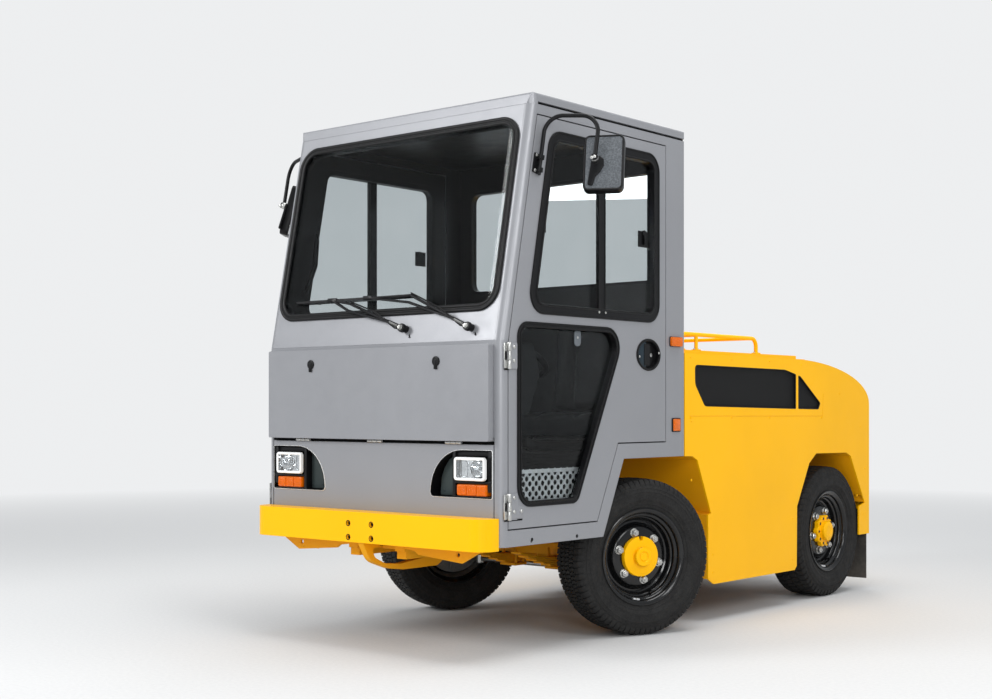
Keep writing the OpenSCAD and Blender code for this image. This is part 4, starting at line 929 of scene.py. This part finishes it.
def mirrors():
    """Frame, face and glass of both mirrors, with their ball joints and clamp screws."""
    upright = turned(90, "X")
    outline = pad(-76, -113, 76, 113, 22, 8)
    for s, hand in SIDES:
        ball, head, reach = head_place(s)
        local, body = head @ upright, "door_" + hand
        bm = bmesh.new()
        sweep_ring(bm, outline, MIRROR_RIM, local)
        plate(bm, rounded([(x - reach, y) for x, y in MIRROR_BRACKET], 7, 4), -15, -6.5, local, 2.0)
        tube(bm, [(-reach, 14, -8), (-reach, 13, 6)], 12, local, 20)
        piece("mirror_frame_" + hand, bm, "black_metal", body, "black_trim")
        bm = bmesh.new()
        plate(bm, grow(outline, -7.4), -40, -13.6, local, 1.5)
        piece("mirror_face_" + hand, bm, "speckled", body, "black_trim")
        bm = bmesh.new()
        plate(bm, grow(outline, -9), 50.2, 51.2, head @ turned(-90, "X"), 0.4)
        piece("mirror_glass_" + hand, bm, "mirror_glass", body, "black_trim")
        bm = bmesh.new()
        lathe(bm, arc((0, 0), (15.5, 15.5), -90, 90, 12), ball, 24)
        nut(bm, (0, 0, 9), ball @ upright @ at(-9, 0), 13, 9, 3.5)
        foot = mirrored(s) @ at(HALF_W, MIRROR_Y, MIRROR_Z) @ LEANING
        foot = foot @ basis((0, 1, 0), (0, 0, 1), (1, 0, 0))
        for u, v in ((-14, 30), (-14, -30), (12, 31)):
            lathe(bm, [(0, 5.5), (6.2, 5.5), (6.0, 8), (4.4, 10.4), (0, 11.4)], foot @ at(u, v), 20)
        piece("mirror_screws_" + hand, bm, "steel", body)


# Each wiper's pivot, elbow and blade ends, on the windscreen
WIPERS = (((154, 57), (-158, 169), (-485, -55)), ((496, 51), (176, 189), (-294, 167)))
BLADE_V = 190


def wipers():
    """Caps, springs, blades and washer hoses on the wipers' arms."""
    bm, dark, bright = meshes(3)
    for pivot, elbow, (b0, b1) in WIPERS:
        p, e, m = Vector((*pivot, 26)), Vector((*elbow, 23)), Vector(((b0 + b1) / 2, BLADE_V, 22))
        along = unit(e - p)
        lathe(bm, [(17.5, 18), (17.5, 30), (15, 34.5), (0, 35)], SCREEN @ at(*pivot), 28)
        tube(bm, [p, p + 90 * along], [11, 8.5], SCREEN, 14, flat=0.6)
        tube(bm, [p + 88 * along, e, m], 6.6, SCREEN, 12, 30, 0.7)
        box(bm, (m.x - 26, 181, 14), (m.x + 26, 198, 27), SCREEN, 3)
        for a, b, end in ((b0 + 30, m.x - 8, b0 + 30), (m.x + 8, b1 - 30, b1 - 30)):
            tube(bm, [(m.x, 191, 22), ((a + b) / 2, 191, 21), (end, 189, 12)], 3.6, SCREEN, 10, 25)
        box(bm, (b0, 184, 9), (b1, 192.5, 14), SCREEN, 1.5)
        box(dark, (b0 + 2, 186.6, 1), (b1 - 2, 189.8, 10), SCREEN, 1.0)
        nut(bright, (*pivot, 35), SCREEN, 14, 7, 3.5, 9)
        out, across = Vector((0, 0, 1)), Vector((-along.y, along.x, 0))
        coil = []
        for k in range(121):
            a = math.tau * k / 10
            c = p + (18 + 52 * k / 120) * along + 7 * out
            coil.append(c + 3.6 * math.cos(a) * out + 3.6 * math.sin(a) * across)
        tube(bright, coil, 0.9, SCREEN, 6)
        hose = [(pivot[0] + 26, 22, 4), (pivot[0] + 10, 34, 14), p + 40 * along + Vector((0, 12, 4)),
                p + 150 * along + Vector((0, 10, -2)), e + Vector((0, 9, 0))]
        tube(dark, hose, 3.0, SCREEN, 10, 30)
    piece("wiper_arms", bm, "black_metal")
    piece("wiper_rubbers", dark, "rubber_seal")
    piece("wiper_nuts", bright, "steel")


# Front

FLAP_OUT = 30.0
LATCH = [(0, 0), (19, 0), (19, 3), (17, 4.6), (12, 5), (0, 5)]
FLAP_BARREL = [(0, -12.4), (5.4, -12.4), (5.7, -11.6), (5.7, 11.6), (5.4, 12.4), (0, 12.4)]
SILL_SCREWS = ((181, 457.5), (465, 451.5))


def front():
    """Flap latches, near-black strips in the flap's gaps as painted shade, hinge barrels, screws and near-black
    linings of the bumper's holes as painted shade.
    """
    bm = bmesh.new()
    for x in (-350, 350):
        here = FRONT @ at(x, 1136)
        lathe(bm, [(r, FLAP_OUT + h) for r, h in LATCH], here, 32)
        box(bm, (-8, -31, FLAP_OUT), (8, 8, FLAP_OUT + 7), here, 2.4, 3)
        box(bm, (-5, -27, FLAP_OUT + 6), (5, 4, FLAP_OUT + 9.5), here, 2.2, 3)
    piece("flap_latches", bm, "black_trim", "front_flap")
    # Near-black strips in the gaps round the flap, over the cab paint behind: painted shade.
    bm = bmesh.new()
    box(bm, (-610, 819.6, -15.6), (610, 831.4, -12), FRONT, 0.5, 1)
    for s in (1, -1):
        box(bm, (612.6, 822, -12), (616.6, 1200, -8), mirrored(s) @ FRONT, 0.5, 1)
    box(bm, (-611, 1196.6, -3), (611, 1199, -0.6), FRONT, 0.4, 1)
    piece("front_gaps", bm, "shade_black", slot="rubber_seal")
    bm = bmesh.new()
    for x in (-420, 0, 420):
        for e in (-27, 0, 27):
            lathe(bm, FLAP_BARREL, at(x + e, -8, 825.5) @ turned(90, "Y"), 20)
    piece("flap_hinge_barrels", bm, "steel")
    bm = bmesh.new()
    for x in (-560, -280, 280, 560):
        screw(bm, (x, 524, 0.2), FRONT, 6.5, 3.4)
    piece("front_screws", bm, "steel")
    bm = bmesh.new()
    for side in SIDE.values():
        for y, z in SILL_SCREWS:
            screw(bm, (y, z, 0.2), side, 7.0, 2.0)
    piece("sill_screws", bm, "black_trim")
    # Near-black rims and linings in the bumper's holes: painted shade inside them.
    bm = bmesh.new()
    for x in (-64, 64):
        for z in (445, 500):
            lathe(bm, [(9.2, 93.2), (9.2, 94.3), (12.5, 94.4), (12.5, 93.2)], FRONT @ at(x, z), 28)
            lathe(bm, [(0, 70), (9.1, 70), (9.1, 84)], FRONT @ at(x, z), 28)
    piece("bumper_hole_shade", bm, "shade_black", slot="black_metal")


# Lamps

RECESS = rounded([(293, 617), (608, 617), (608, 798), (313, 798)], [18, 8, 8, 160], 10)
RECESS_PLATE = [(318, 622), (410, 622), (410, 782), (390, 776), (362, 757), (340, 728), (324, 690)]
HEAD = (427, 683, 580, 771)
HEAD_RING = [
    (-0.6, 2), (-0.6, 12), (0.8, 15.4), (4, 16.6), (8, 16), (10.4, 13.6), (10.4, 12.4), (3, 11), (3, 2),
]
BULB_X, BULB_Z = 528, 727
# Boxes of black plastic round the lamps: two corners and the bevel
SHELL = (
    ((408, 622, -58), (424, 795, 1.5), 3), ((424, 672, -58), (604, 680, 3.5), 2),
    ((584, 640, -50), (604, 794, 1.5), 3), ((424, 774, -58), (604, 795, -6), 3),
    ((408, 619, -58), (604, 624, 1.5), 1.5),
)


def bowl(bm, place, corners, centre, r, w):
    """A reflector that narrows from a rounded rectangle to a round bowl."""
    edge = pad(*corners, 10, 8)
    loops = [[(*p, w) for p in edge], [(*p, w - 10) for p in grow(edge, -1.5)]]
    for share, depth in ((1, 15), (0.97, 22), (0.85, 36), (0.6, 48), (0.3, 53), (0.16, 54)):
        loops.append([(*p, w - depth) for p in ring_points(share * r, len(edge), math.pi, centre)])
    loft(bm, loops, place, around=False, caps=False)


def lamps():
    """Headlamps with a ring painted white as a highlight, reflector and bulb; amber lamps in three fields; the
    black recess round them, with a painted white highlight on its edge.
    """
    ring, shiny, shell, amber, back = meshes(5)
    x0, z0, x1, z1 = HEAD
    for s in (1, -1):
        here = mirrored(s) @ FRONT
        bulb = here @ at(BULB_X, BULB_Z)
        # The ring is white as a painted highlight on the lamp's black rim.
        sweep_ring(ring, pad(*HEAD, 13, 8), HEAD_RING, here)
        bowl(shiny, here, (x0 + 5, z0 + 5, x1 - 5, z1 - 5), (BULB_X, BULB_Z), 38, 3)
        bowl(shiny, here, (442, 696, 478, 756), (460, 727), 14, -6)
        lathe(shiny, [(0, -30), (8, -30), (9, -26), (8, -14), (5, -9), (0, -8)], bulb, 24)
        lathe(shiny, [(13, -48), (13, -34), (11, -32), (0, -32)], bulb, 24)
        for lo, hi, bevel in SHELL:
            box(shell, lo, hi, here, bevel)
        ribs(shell, 5, (3.6, 0, 0), (586, 684, 1), (587.8, 770, 3.4), here, 0.6, 1)
        for x in (435, 484, 533):
            plate(amber, pad(x, 628, x + 46, 666, 5, 5), 1.2, 6.5, here, 2.4)
            ribs(amber, 5, (8, 0, 0), (x + 6, 633, 5.8), (x + 10, 661, 7.6), here, 0.9, 1)
        # A thin white lip round the recess: a painted highlight on the panel's cut edge.
        sweep_ring(ring, grow(RECESS, 1.6), [(0, 0.2), (0, 2.6), (0.7, 3.6), (1.6, 3.4), (1.6, 0.2)], here)
        plate(back, rounded(RECESS_PLATE, 6, 4), -34, -30, here, 1.5)
        for x in (340, 398):
            screw(back, (x, 640, -30), here, 5, 2.5)
    piece("headlamp_rings", ring, "highlight_white", slot="black_trim")
    made = piece("headlamp_bowls", shiny, "reflector")
    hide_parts("headlamps")
    piece("lamp_shells", shell, "black_trim")
    piece("turn_lamp_fields", amber, "lens_amber")
    piece("recess_plates", back, "recess_plate", slot="black_trim")


def markers():
    """Side marker lamps with their black bases and ribs."""
    base, lens_ribs = meshes(2)
    for side in SIDE.values():
        upper = pad(CAB_L - 115, 1221, CAB_L - 28, 1265, 9, 5)
        sweep_ring(base, upper, [(0, 0.1), (0, 3.4), (2, 4.6), (4, 4.2), (4, 0.1)], side)
        lower = pad(CAB_L - 96, 854, CAB_L - 32, 914, 6, 5)
        sweep_ring(base, lower, [(0, 0.1), (0, 4.0), (2, 5.6), (5, 5.0), (5, 0.1)], side)
        ribs(lens_ribs, 6, (12, 0, 0), (CAB_L - 105, 1229, 13.4), (CAB_L - 99, 1257, 15), side, 0.8, 1)
        plate(lens_ribs, pad(CAB_L - 88, 862, CAB_L - 40, 906, 3, 4), 5.6, 8.4, side, 2.0)
    piece("marker_bases", base, "black_trim")
    piece("marker_ribs", lens_ribs, "lens_amber")


# Inside the cab


def cushion(bm, lo, hi, place=LOCAL):
    """A padded block: two grids of points, joined at their edges; the upper one swells between the seams."""
    nx, ny, puff, seams = 30, 22, 34, (0.26, 0.74)
    lo, hi = Vector(lo), Vector(hi)
    grid = {}
    for level in (0, 1):
        for i in range(nx + 1):
            for j in range(ny + 1):
                u, v = i / nx, j / ny
                edge = min(1.0, min(u, 1 - u) * 7, min(v, 1 - v) * 6)
                dome = math.sqrt(max(0.0, 1 - (1 - edge) ** 2))
                crease = min(1.0, min(abs(u - seam) for seam in seams) * 14)
                rise = puff * (0.35 + 0.65 * crease) * dome
                x = lo.x + (hi.x - lo.x) * (0.5 + (u - 0.5) * (0.97 + 0.03 * dome))
                y = lo.y + (hi.y - lo.y) * (0.5 + (v - 0.5) * (0.97 + 0.03 * dome))
                z = hi.z - puff + rise if level else lo.z + 6 * (1 - dome)
                grid[level, i, j] = bm.verts.new(place @ Vector((x, y, z)))

    def face(*keys):
        bm.faces.new([grid[key] for key in keys])

    for i in range(nx):
        for j in range(ny):
            face((1, i, j), (1, i + 1, j), (1, i + 1, j + 1), (1, i, j + 1))
            face((0, i, j + 1), (0, i + 1, j + 1), (0, i + 1, j), (0, i, j))
    for i in range(nx):
        face((0, i, 0), (0, i + 1, 0), (1, i + 1, 0), (1, i, 0))
        face((1, i, ny), (1, i + 1, ny), (0, i + 1, ny), (0, i, ny))
    for j in range(ny):
        face((1, 0, j), (1, 0, j + 1), (0, 0, j + 1), (0, 0, j))
        face((0, nx, j), (0, nx, j + 1), (1, nx, j + 1), (1, nx, j))


SEAT_X0, SEAT_Y0, DECK_Z = low("seat")
SEAT_X1, SEAT_Y1, _ = high("seat")
GRAB = [(-600, 236, 1712), (-566, 232, 1704), (-548, 190, 1580), (-560, 168, 1470), (-604, 172, 1456)]


def cab_inside():
    """Seat, steering column and wheel's spokes, grab handle and dash fittings."""
    bm = bmesh.new()
    cushion(bm, (SEAT_X0 + 4, SEAT_Y0 + 2, DECK_Z + 62), (SEAT_X1 - 4, SEAT_Y1 - 66, DECK_Z + 164))
    back = at(0, SEAT_Y1 - 100, DECK_Z + 166) @ turned(84, "X")
    cushion(bm, (SEAT_X0 + 14, 0, -34), (SEAT_X1 - 14, 446, 46), back)
    made = piece("seat_cushions", bm, "seat_cover", sharp=60)
    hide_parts("seat")
    bm = bmesh.new()
    box(bm, (SEAT_X0 + 60, SEAT_Y0 + 40, DECK_Z + 0.2), (SEAT_X1 - 60, SEAT_Y1 - 75, DECK_Z + 58), bevel=4)
    for x in (SEAT_X0 + 80, SEAT_X1 - 100):
        box(bm, (x, SEAT_Y0 + 20, DECK_Z + 50), (x + 20, SEAT_Y1 - 60, DECK_Z + 62), bevel=3)
    x0, x1 = SEAT_X0 + 110, SEAT_X1 - 110
    lever = ((x0, 30, 52), (x0, -12, 44), (x1, -12, 44), (x1, 30, 52))
    tube(bm, [(x, SEAT_Y0 + y, DECK_Z + z) for x, y, z in lever], 6, n=12, bend=20)
    piece("seat_base", bm, "black_metal")
    column = at(HALF_W - 381, 465, 1165) @ turned(-25, "X")
    bm = bmesh.new()
    lathe(bm, [(0, 6), (30, 5), (38, 0.5), (40, -8), (34, -14)], column, 40)
    for k in range(3):
        a = math.radians(90 + 120 * k)
        spoke = [(r * math.cos(a), r * math.sin(a), z) for r, z in ((34, -8), (110, -6), (172, 0))]
        tube(bm, spoke, [14, 11, 9], column, 14, flat=0.5)
    lathe(bm, [(34, -40), (34, -60), (30, -75), (27, -120), (27, -180)], column, 28)
    for side, length in ((1, 120), (-1, 110)):
        path = [(side * 26, 0, -70), (side * 70, 0, -62), (side * length, 0, -52)]
        tube(bm, path, [6, 5, 8], column, 12, 20)
    piece("steering_column", bm, "black_trim")
    bm = bmesh.new()
    tube(bm, GRAB, 11, bend=30)
    piece("grab_handle", bm, "black_trim")
    bm = bmesh.new()
    ribs(bm, 4, (60, 0, 0), (-120, 250, 1160), (-86, 262, 1184), LOCAL, 3)
    for x, r in ((200, 34), (280, 34), (340, 22)):
        dial = [(0, 0), (r, 0), (r, 5), (r - 4, 7), (r - 6, 3), (0, 3)]
        lathe(bm, dial, at(x, 292, 1130) @ turned(-70, "X"), 32)
    tube(bm, [(150, 400, 490), (150, 330, 560)], 7)
    for x in (180, 300):
        box(bm, (x, 300, 520), (x + 70, 318, 610), bevel=4)
        tube(bm, [(x + 35, 300, 600), (x + 35, 270, 760), (x + 35, 200, 900)], 8, n=12, bend=30)
    piece("dash_fittings", bm, "gray_plastic", slot="black_trim")


DOOR_GAP = [
    (DOOR_FRONT_Y, SILL_LOW_Z), (600, SILL_LOW_Z), (744, 815), (DOOR_REAR_Y, 815), (DOOR_REAR_Y, 2076),
    (41 + 878 * SLOPE, 2076), (DOOR_FRONT_Y, KINK_Z - 12),
]


def cab_shell():
    """Seals deep in the door gaps, in near-black as painted shade, and plugs on the roof."""
    bm = bmesh.new()
    for side in SIDE.values():
        # The seals are darkened to near-black as painted shade in the gaps.
        sweep_ring(bm, grow(DOOR_GAP, 4.4), [(0, -20), (0, -14), (1.8, -12), (3.6, -14), (3.6, -20)], side)
    piece("door_seals_in_shade", bm, "shade_black", slot="rubber_seal")
    bm = bmesh.new()
    for s in (1, -1):
        for y in (330, 710, 1090):
            lathe(bm, [(0, 0), (7, 0), (6.4, 2.4), (3.4, 4), (0, 4.4)], at(s * (HALF_W - 60), y, ROOF_Z), 18)
    piece("roof_plugs", bm, "cab_paint")


# Rear body

FRONT_GRILLE = rounded(
    [(1410, 964), (2244, 952), (2244, 1122), (2137, 1142), (1328, 1148), (1330, 1061)],
    [30, 6, 10, 60, 20, 40],
)
REAR_GRILLE = rounded([(2266, 952), (2476, 950), (2497, 982), (2290, 1112), (2266, 1118)], [6, 12, 12, 20, 6])
GRILLE_FRAME = [(0.2, -7.5), (0.2, -0.8), (1.4, 0.5), (3.4, 0.5), (4.4, -0.8), (4.4, -7.5)]
PANEL_SCREWS = ((1292, 1180), (1640, 1180), (1985, 1180), (1292, 916), (1640, 914), (1985, 912), (2508, 909))
BODY_SCREWS = (
    (1300, 900), (1300, 640), (1480, 300), (1480, 220), (2210, 220), (2210, 420), (2900, 500), (2960, 400),
    (2990, 640), (2940, 860), (2700, 1030), (2300, 1168),
)
LID_Z = 1215.3
CATCH_X = 520


def rear_body():
    """Grille frames, lid catches, body screws, seams darkened as painted shade, and the rail's clamps."""
    bolts, yellow, dark, plain, seam, catch = meshes(6)
    for side in SIDE.values():
        for outline in (FRONT_GRILLE, REAR_GRILLE):
            sweep_ring(dark, outline, GRILLE_FRAME, side)
        for screws, height in ((PANEL_SCREWS, 3.0), (BODY_SCREWS, 2.6)):
            for y, z in screws:
                screw(plain, (y, z, -0.3), side, 5.5, height)
        # Seam lines in the darker chassis yellow: painted shade along the panels' seams.
        for a, b in (((1284, 922), (2518, 917)), ((2518, 917), (2525, 1030))):
            tube(seam, [(*a, -0.4), (*b, -0.4)], 1.3, side, 8)
    rail_x = high("luggage_rail").x - 9.5
    for s in (1, -1):
        for y in (1320, 1450, 1980):
            lathe(yellow, [(0, 0), (22, 0), (22, 4), (20, 5.4), (11, 6)], at(s * rail_x, y, LID_Z), 24)
            for e in (-15.5, 15.5):
                nut(bolts, (s * rail_x, y + e, LID_Z + 5), LOCAL, 8, 4.5)
        x = s * CATCH_X
        box(catch, (x - 34, 1330, LID_Z - 0.4), (x + 34, 1380, LID_Z + 6), bevel=3)
        bow = [(x + dx, 1355, LID_Z + dz) for dx, dz in ((-24, 4), (-22, 22), (22, 22), (24, 4))]
        tube(catch, bow, 5, n=12, bend=12)
    piece("body_screws", plain, "body_paint")
    piece("shaded_body_seams", seam, "chassis_paint")
    piece("rail_bolts", bolts, "steel", "engine_lid")
    piece("rail_clamps", yellow, "body_paint", "engine_lid")
    piece("lid_catches", catch, "black_metal", "engine_lid")
    piece("grille_frames", dark, "black_metal")


TAIL_LAMP_X = 540
TAIL_RING = [(0, 0.2), (0, 18), (2, 21), (5, 21.6), (6.4, 19), (6.4, 0.2)]


def tail():
    """Tail lamp rings, reflectors, coupling plates' bolts, flap bolts and a rear strip."""
    ring, red, steel, yellow = meshes(4)
    here = at(0, TAIL_Y) @ REAR
    for s in (1, -1):
        x = s * TAIL_LAMP_X
        for z in (680, 760):
            sweep_ring(ring, pad(x - 64, z - 4, x + 64, z + 74, 10, 5), TAIL_RING, here)
            ribs(red, 5, (21, 0, 0), (x - 52, z + 6, 21), (x - 36, z + 64, 24.5), here, 1.6)
        lathe(ring, [(0, 0), (32, 0), (32, 8), (30, 10), (0, 10)], here @ at(x, 620), 32)
        lathe(red, [(0, 9), (27, 9), (26, 12), (0, 12.6)], here @ at(x, 620), 32)
        for k in range(4):
            nut(steel, (s * (430 + 60 * k), 398, -8), here, 13, 7, 4, 12)
        box(steel, (s * 520 - 112, 386, -8), (s * 520 + 112, 410, -5.5), here, 0.8, 1)
        for z in (300, 360, 440, 500):
            nut(steel, (s * 60, z, 18), here, 15, 9, 5, 13)
    box(yellow, (-330, 546, 0.2), (330, 560, 5), here, 2)
    for x in (-300, -100, 100, 300):
        nut(steel, (x, 553, 5), here, 11, 6, 0, 9)
    piece("tail_lamp_rings", ring, "black_trim")
    piece("tail_lamp_ribs", red, "lens_red")
    piece("tail_bolts", steel, "steel")
    piece("tail_strip", yellow, "body_paint")


# Underside


def spread(outline, n=160):
    """n points at equal distances round an outline."""
    loop = [Vector(p) for p in outline]
    steps = [(b - a).length for a, b in zip(loop, loop[1:] + loop[:1])]
    total, made, k, run = sum(steps), [], 0, 0.0
    for i in range(n):
        want = total * i / n
        while run + steps[k] < want:
            run += steps[k]
            k += 1
        made.append(loop[k].lerp(loop[(k + 1) % len(loop)], (want - run) / steps[k]))
    return made


def guard():
    """The guard loop under the bumper, with its long opening."""
    top = low("front_bumper").z - 0.5
    outer = [(2, 410.5), (2, top), (-90, top), (-45, 348), (60, 312), (140, 302), (345, 302), (384, 325)]
    outer.append((395, 410.5))
    outer = spread(rounded(outer, [0.5, 0.5, 1, 80, 60, 20, 20, 20, 1], 6))
    inner = [(60, 399), (-34, 402), (-26, 364), (38, 334), (124, 327), (283, 343), (292, 380), (280, 398)]
    inner = spread(rounded(inner, [4, 10, 30, 60, 60, 14, 14, 10], 6))
    bm = bmesh.new()
    loft(bm, [[(x, *p) for p in ring] for x, ring in ((-15, inner), (-15, outer), (15, outer), (15, inner))])
    made = piece("guard_plate", bm, "chassis_paint")
    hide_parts("guard_loop")


REAR_AXLE_Y = 2640.0
# Leaf springs: x, axle's y, z, half length, rise, shortening and drop of each leaf, half width and height
SPRINGS = ((130, 1020.0, 292, 300, 40, 52, 8, 28, 3.6), (330, REAR_AXLE_Y, 276, 380, 52, 64, 9, 32, 4))
DRUM = [(60, -30), (140, -28), (150, -20), (152, 8), (146, 12), (60, 12)]
EXHAUST = [
    (-210, 1560, 420), (-230, 1760, 330), (-230, 2140, 330), (-300, 2300, 430), (-300, 2900, 430),
    (-300, 3010, 420),
]
SILENCER = [(0, -230), (60, -226), (70, -214), (70, 214), (60, 226), (0, 230)]
HOSES = (
    ((160, 980, 400), (240, 985, 350), (330, 1000, 390), (420, 1010, 392)),
    ((60, 2560, 430), (150, 2590, 400), (300, 2610, 392)),
)


def underside():
    """Leaf springs, brake drums and hoses, the exhaust and the gearbox."""
    bm = bmesh.new()
    for s in (1, -1):
        for k in range(5):
            for x, y, z, length, rise, shorter, lower, w, h in SPRINGS:
                half = length - shorter * k
                section = []
                for t in [-1 + 0.25 * i for i in range(9)]:
                    up = z - lower * k + rise * (half * t / length) ** 2
                    leaf = rectangle(s * x - w, up - h, s * x + w, up + h)
                    section.append([(u, y + half * t, v) for u, v in leaf])
                loft(bm, section, around=False)
        for x, y, z in [spring[:3] for spring in SPRINGS]:
            for e in (-26, 26):
                for u in (s * x - 36, s * x + 36):
                    tube(bm, [(u, y + e, z - 48), (u, y + e, z + 42)], 7, n=12)
            box(bm, (s * x - 46, y - 42, z - 52), (s * x + 46, y + 42, z - 40), bevel=3)
    for s in (1, -1):
        lathe(bm, DRUM, at(s * 445, REAR_AXLE_Y, 330) @ turned(90 * s, "Y"), 48)
    piece("springs_and_drums", bm, "chassis_paint")
    bm = bmesh.new()
    tube(bm, EXHAUST, 26, n=20, bend=90)
    lathe(bm, SILENCER, at(-230, 1960, 330) @ turned(90, "X"), 36)
    piece("exhaust", bm, "iron")
    bm = bmesh.new()
    for s in (1, -1):
        for hose in HOSES:
            tube(bm, [(s * x, y, z) for x, y, z in hose], 6, n=12, bend=40)
    piece("brake_hoses", bm, "rubber_seal")
    bm = bmesh.new()
    box(bm, (-190, 1520, 290), (190, 1980, 440), LOCAL, 22, 4)
    ribs(bm, 9, (0, 46, 0), (-194, 1560, 300), (194, 1572, 436), LOCAL, 3)
    tube(bm, [(0, 1980, 380), (0, 2300, 360), (0, 2540, 338)], 38, n=24)
    piece("gearbox", bm, "iron")


# Stage, lights and camera

BACKDROP = (0.85, 0.86, 0.87, 1)
SKY = (0.92, 0.96, 1.0, 1)
# Each lamp's place, width and height, and power in watts
LAMPS = {
    "overhead": ((1.2, -0.2, 7.0), (4.5, 4.5), 330),
    "key": ((6.5, -3.0, 4.2), (2.6, 2.6), 130),
    "corner": ((5.4, -6.4, 2.6), (1.0, 2.6), 110),
    "front": ((-3.2, -7.0, 4.4), (2.4, 2.4), 285),
    "back": ((-4.0, 6.5, 4.5), (3.0, 3.0), 90),
}
AIM = (0, 0, 0.9)


def stage():
    """Pale floor that fades into the pale backdrop."""
    look = Look("floor")
    place = look.add("ShaderNodeNewGeometry").outputs["Position"]
    radius = look.add("ShaderNodeVectorMath", {0: place}, operation="LENGTH").outputs["Value"]
    far = look.range(radius, 4.0, 11.0, 0.0, 1.0)
    shade = look.mix(look.cloud(0.0, 1.0, 60.0, 5.0, 0.7), (0.60, 0.60, 0.60, 1), (0.66, 0.66, 0.655, 1))
    look.finish(color=shade, rough=0.8)
    glow = look.add("ShaderNodeEmission", {"Color": BACKDROP, "Strength": 1.0}).outputs[0]
    blend = look.add("ShaderNodeMixShader", {0: far, 1: look.shader.outputs[0], 2: glow})
    look.feed(look.tree.nodes["Material Output"].inputs["Surface"], blend.outputs[0])
    bm = bmesh.new()
    lathe(bm, [(0, 0), (4, 0), (12, 0), (40, 0)])
    mesh = mesh_of("floor", bm)
    mesh.materials.append(look.material)
    made = placed("floor", mesh)


def lights():
    """The lamps, and a sky that the camera sees as the backdrop, also through glass."""
    world = bpy.data.worlds.new("studio")
    bpy.context.scene.world = world
    world.use_nodes = True
    nodes, links = world.node_tree.nodes, world.node_tree.links
    light = nodes["Background"]
    light.inputs["Color"].default_value = SKY
    light.inputs["Strength"].default_value = 0.55
    shown = nodes.new("ShaderNodeBackground")
    shown.inputs["Color"].default_value = BACKDROP
    path = nodes.new("ShaderNodeLightPath")
    either = nodes.new("ShaderNodeMath")
    either.operation = "MAXIMUM"
    blend = nodes.new("ShaderNodeMixShader")
    for source, target in (
        (path.outputs["Is Camera Ray"], either.inputs[0]),
        (path.outputs["Is Transmission Ray"], either.inputs[1]),
        (either.outputs[0], blend.inputs[0]),
        (light.outputs[0], blend.inputs[1]),
        (shown.outputs[0], blend.inputs[2]),
        (blend.outputs[0], nodes["World Output"].inputs["Surface"]),
    ):
        links.new(source, target)
    for name, (place, size, power) in LAMPS.items():
        data = bpy.data.lights.new(name, "AREA")
        data.shape = "RECTANGLE"
        data.size, data.size_y = size
        data.energy = power
        made = placed(name, data)
        made.location = place
        made.rotation_euler = (Vector(AIM) - Vector(place)).to_track_quat("-Z", "Y").to_euler()


CAMERA_AZIMUTH = math.radians(40.09)
CAMERA_PLACE = (4.106, -5.684, 0.957)
PICTURE = (992, 699)
FOCAL_PX = 1455.0
HORIZON_PX = 408.0


def camera():
    """The camera as it was fitted to the photo."""
    data = bpy.data.cameras.new("camera")
    data.sensor_width = 36.0
    data.lens = FOCAL_PX / PICTURE[0] * data.sensor_width
    data.shift_y = (HORIZON_PX - PICTURE[1] / 2) / PICTURE[0]
    made = placed("camera", data)
    made.location = CAMERA_PLACE
    made.rotation_euler = (math.pi / 2, 0, CAMERA_AZIMUTH)
    bpy.context.scene.camera = made


bpy.context.scene.view_settings.view_transform = "Standard"
dress_nodes()
wheels()
window_rubbers()
doors()
mirrors()
wipers()
front()
lamps()
markers()
cab_inside()
cab_shell()
rear_body()
tail()
guard()
underside()
stage()
lights()
camera()
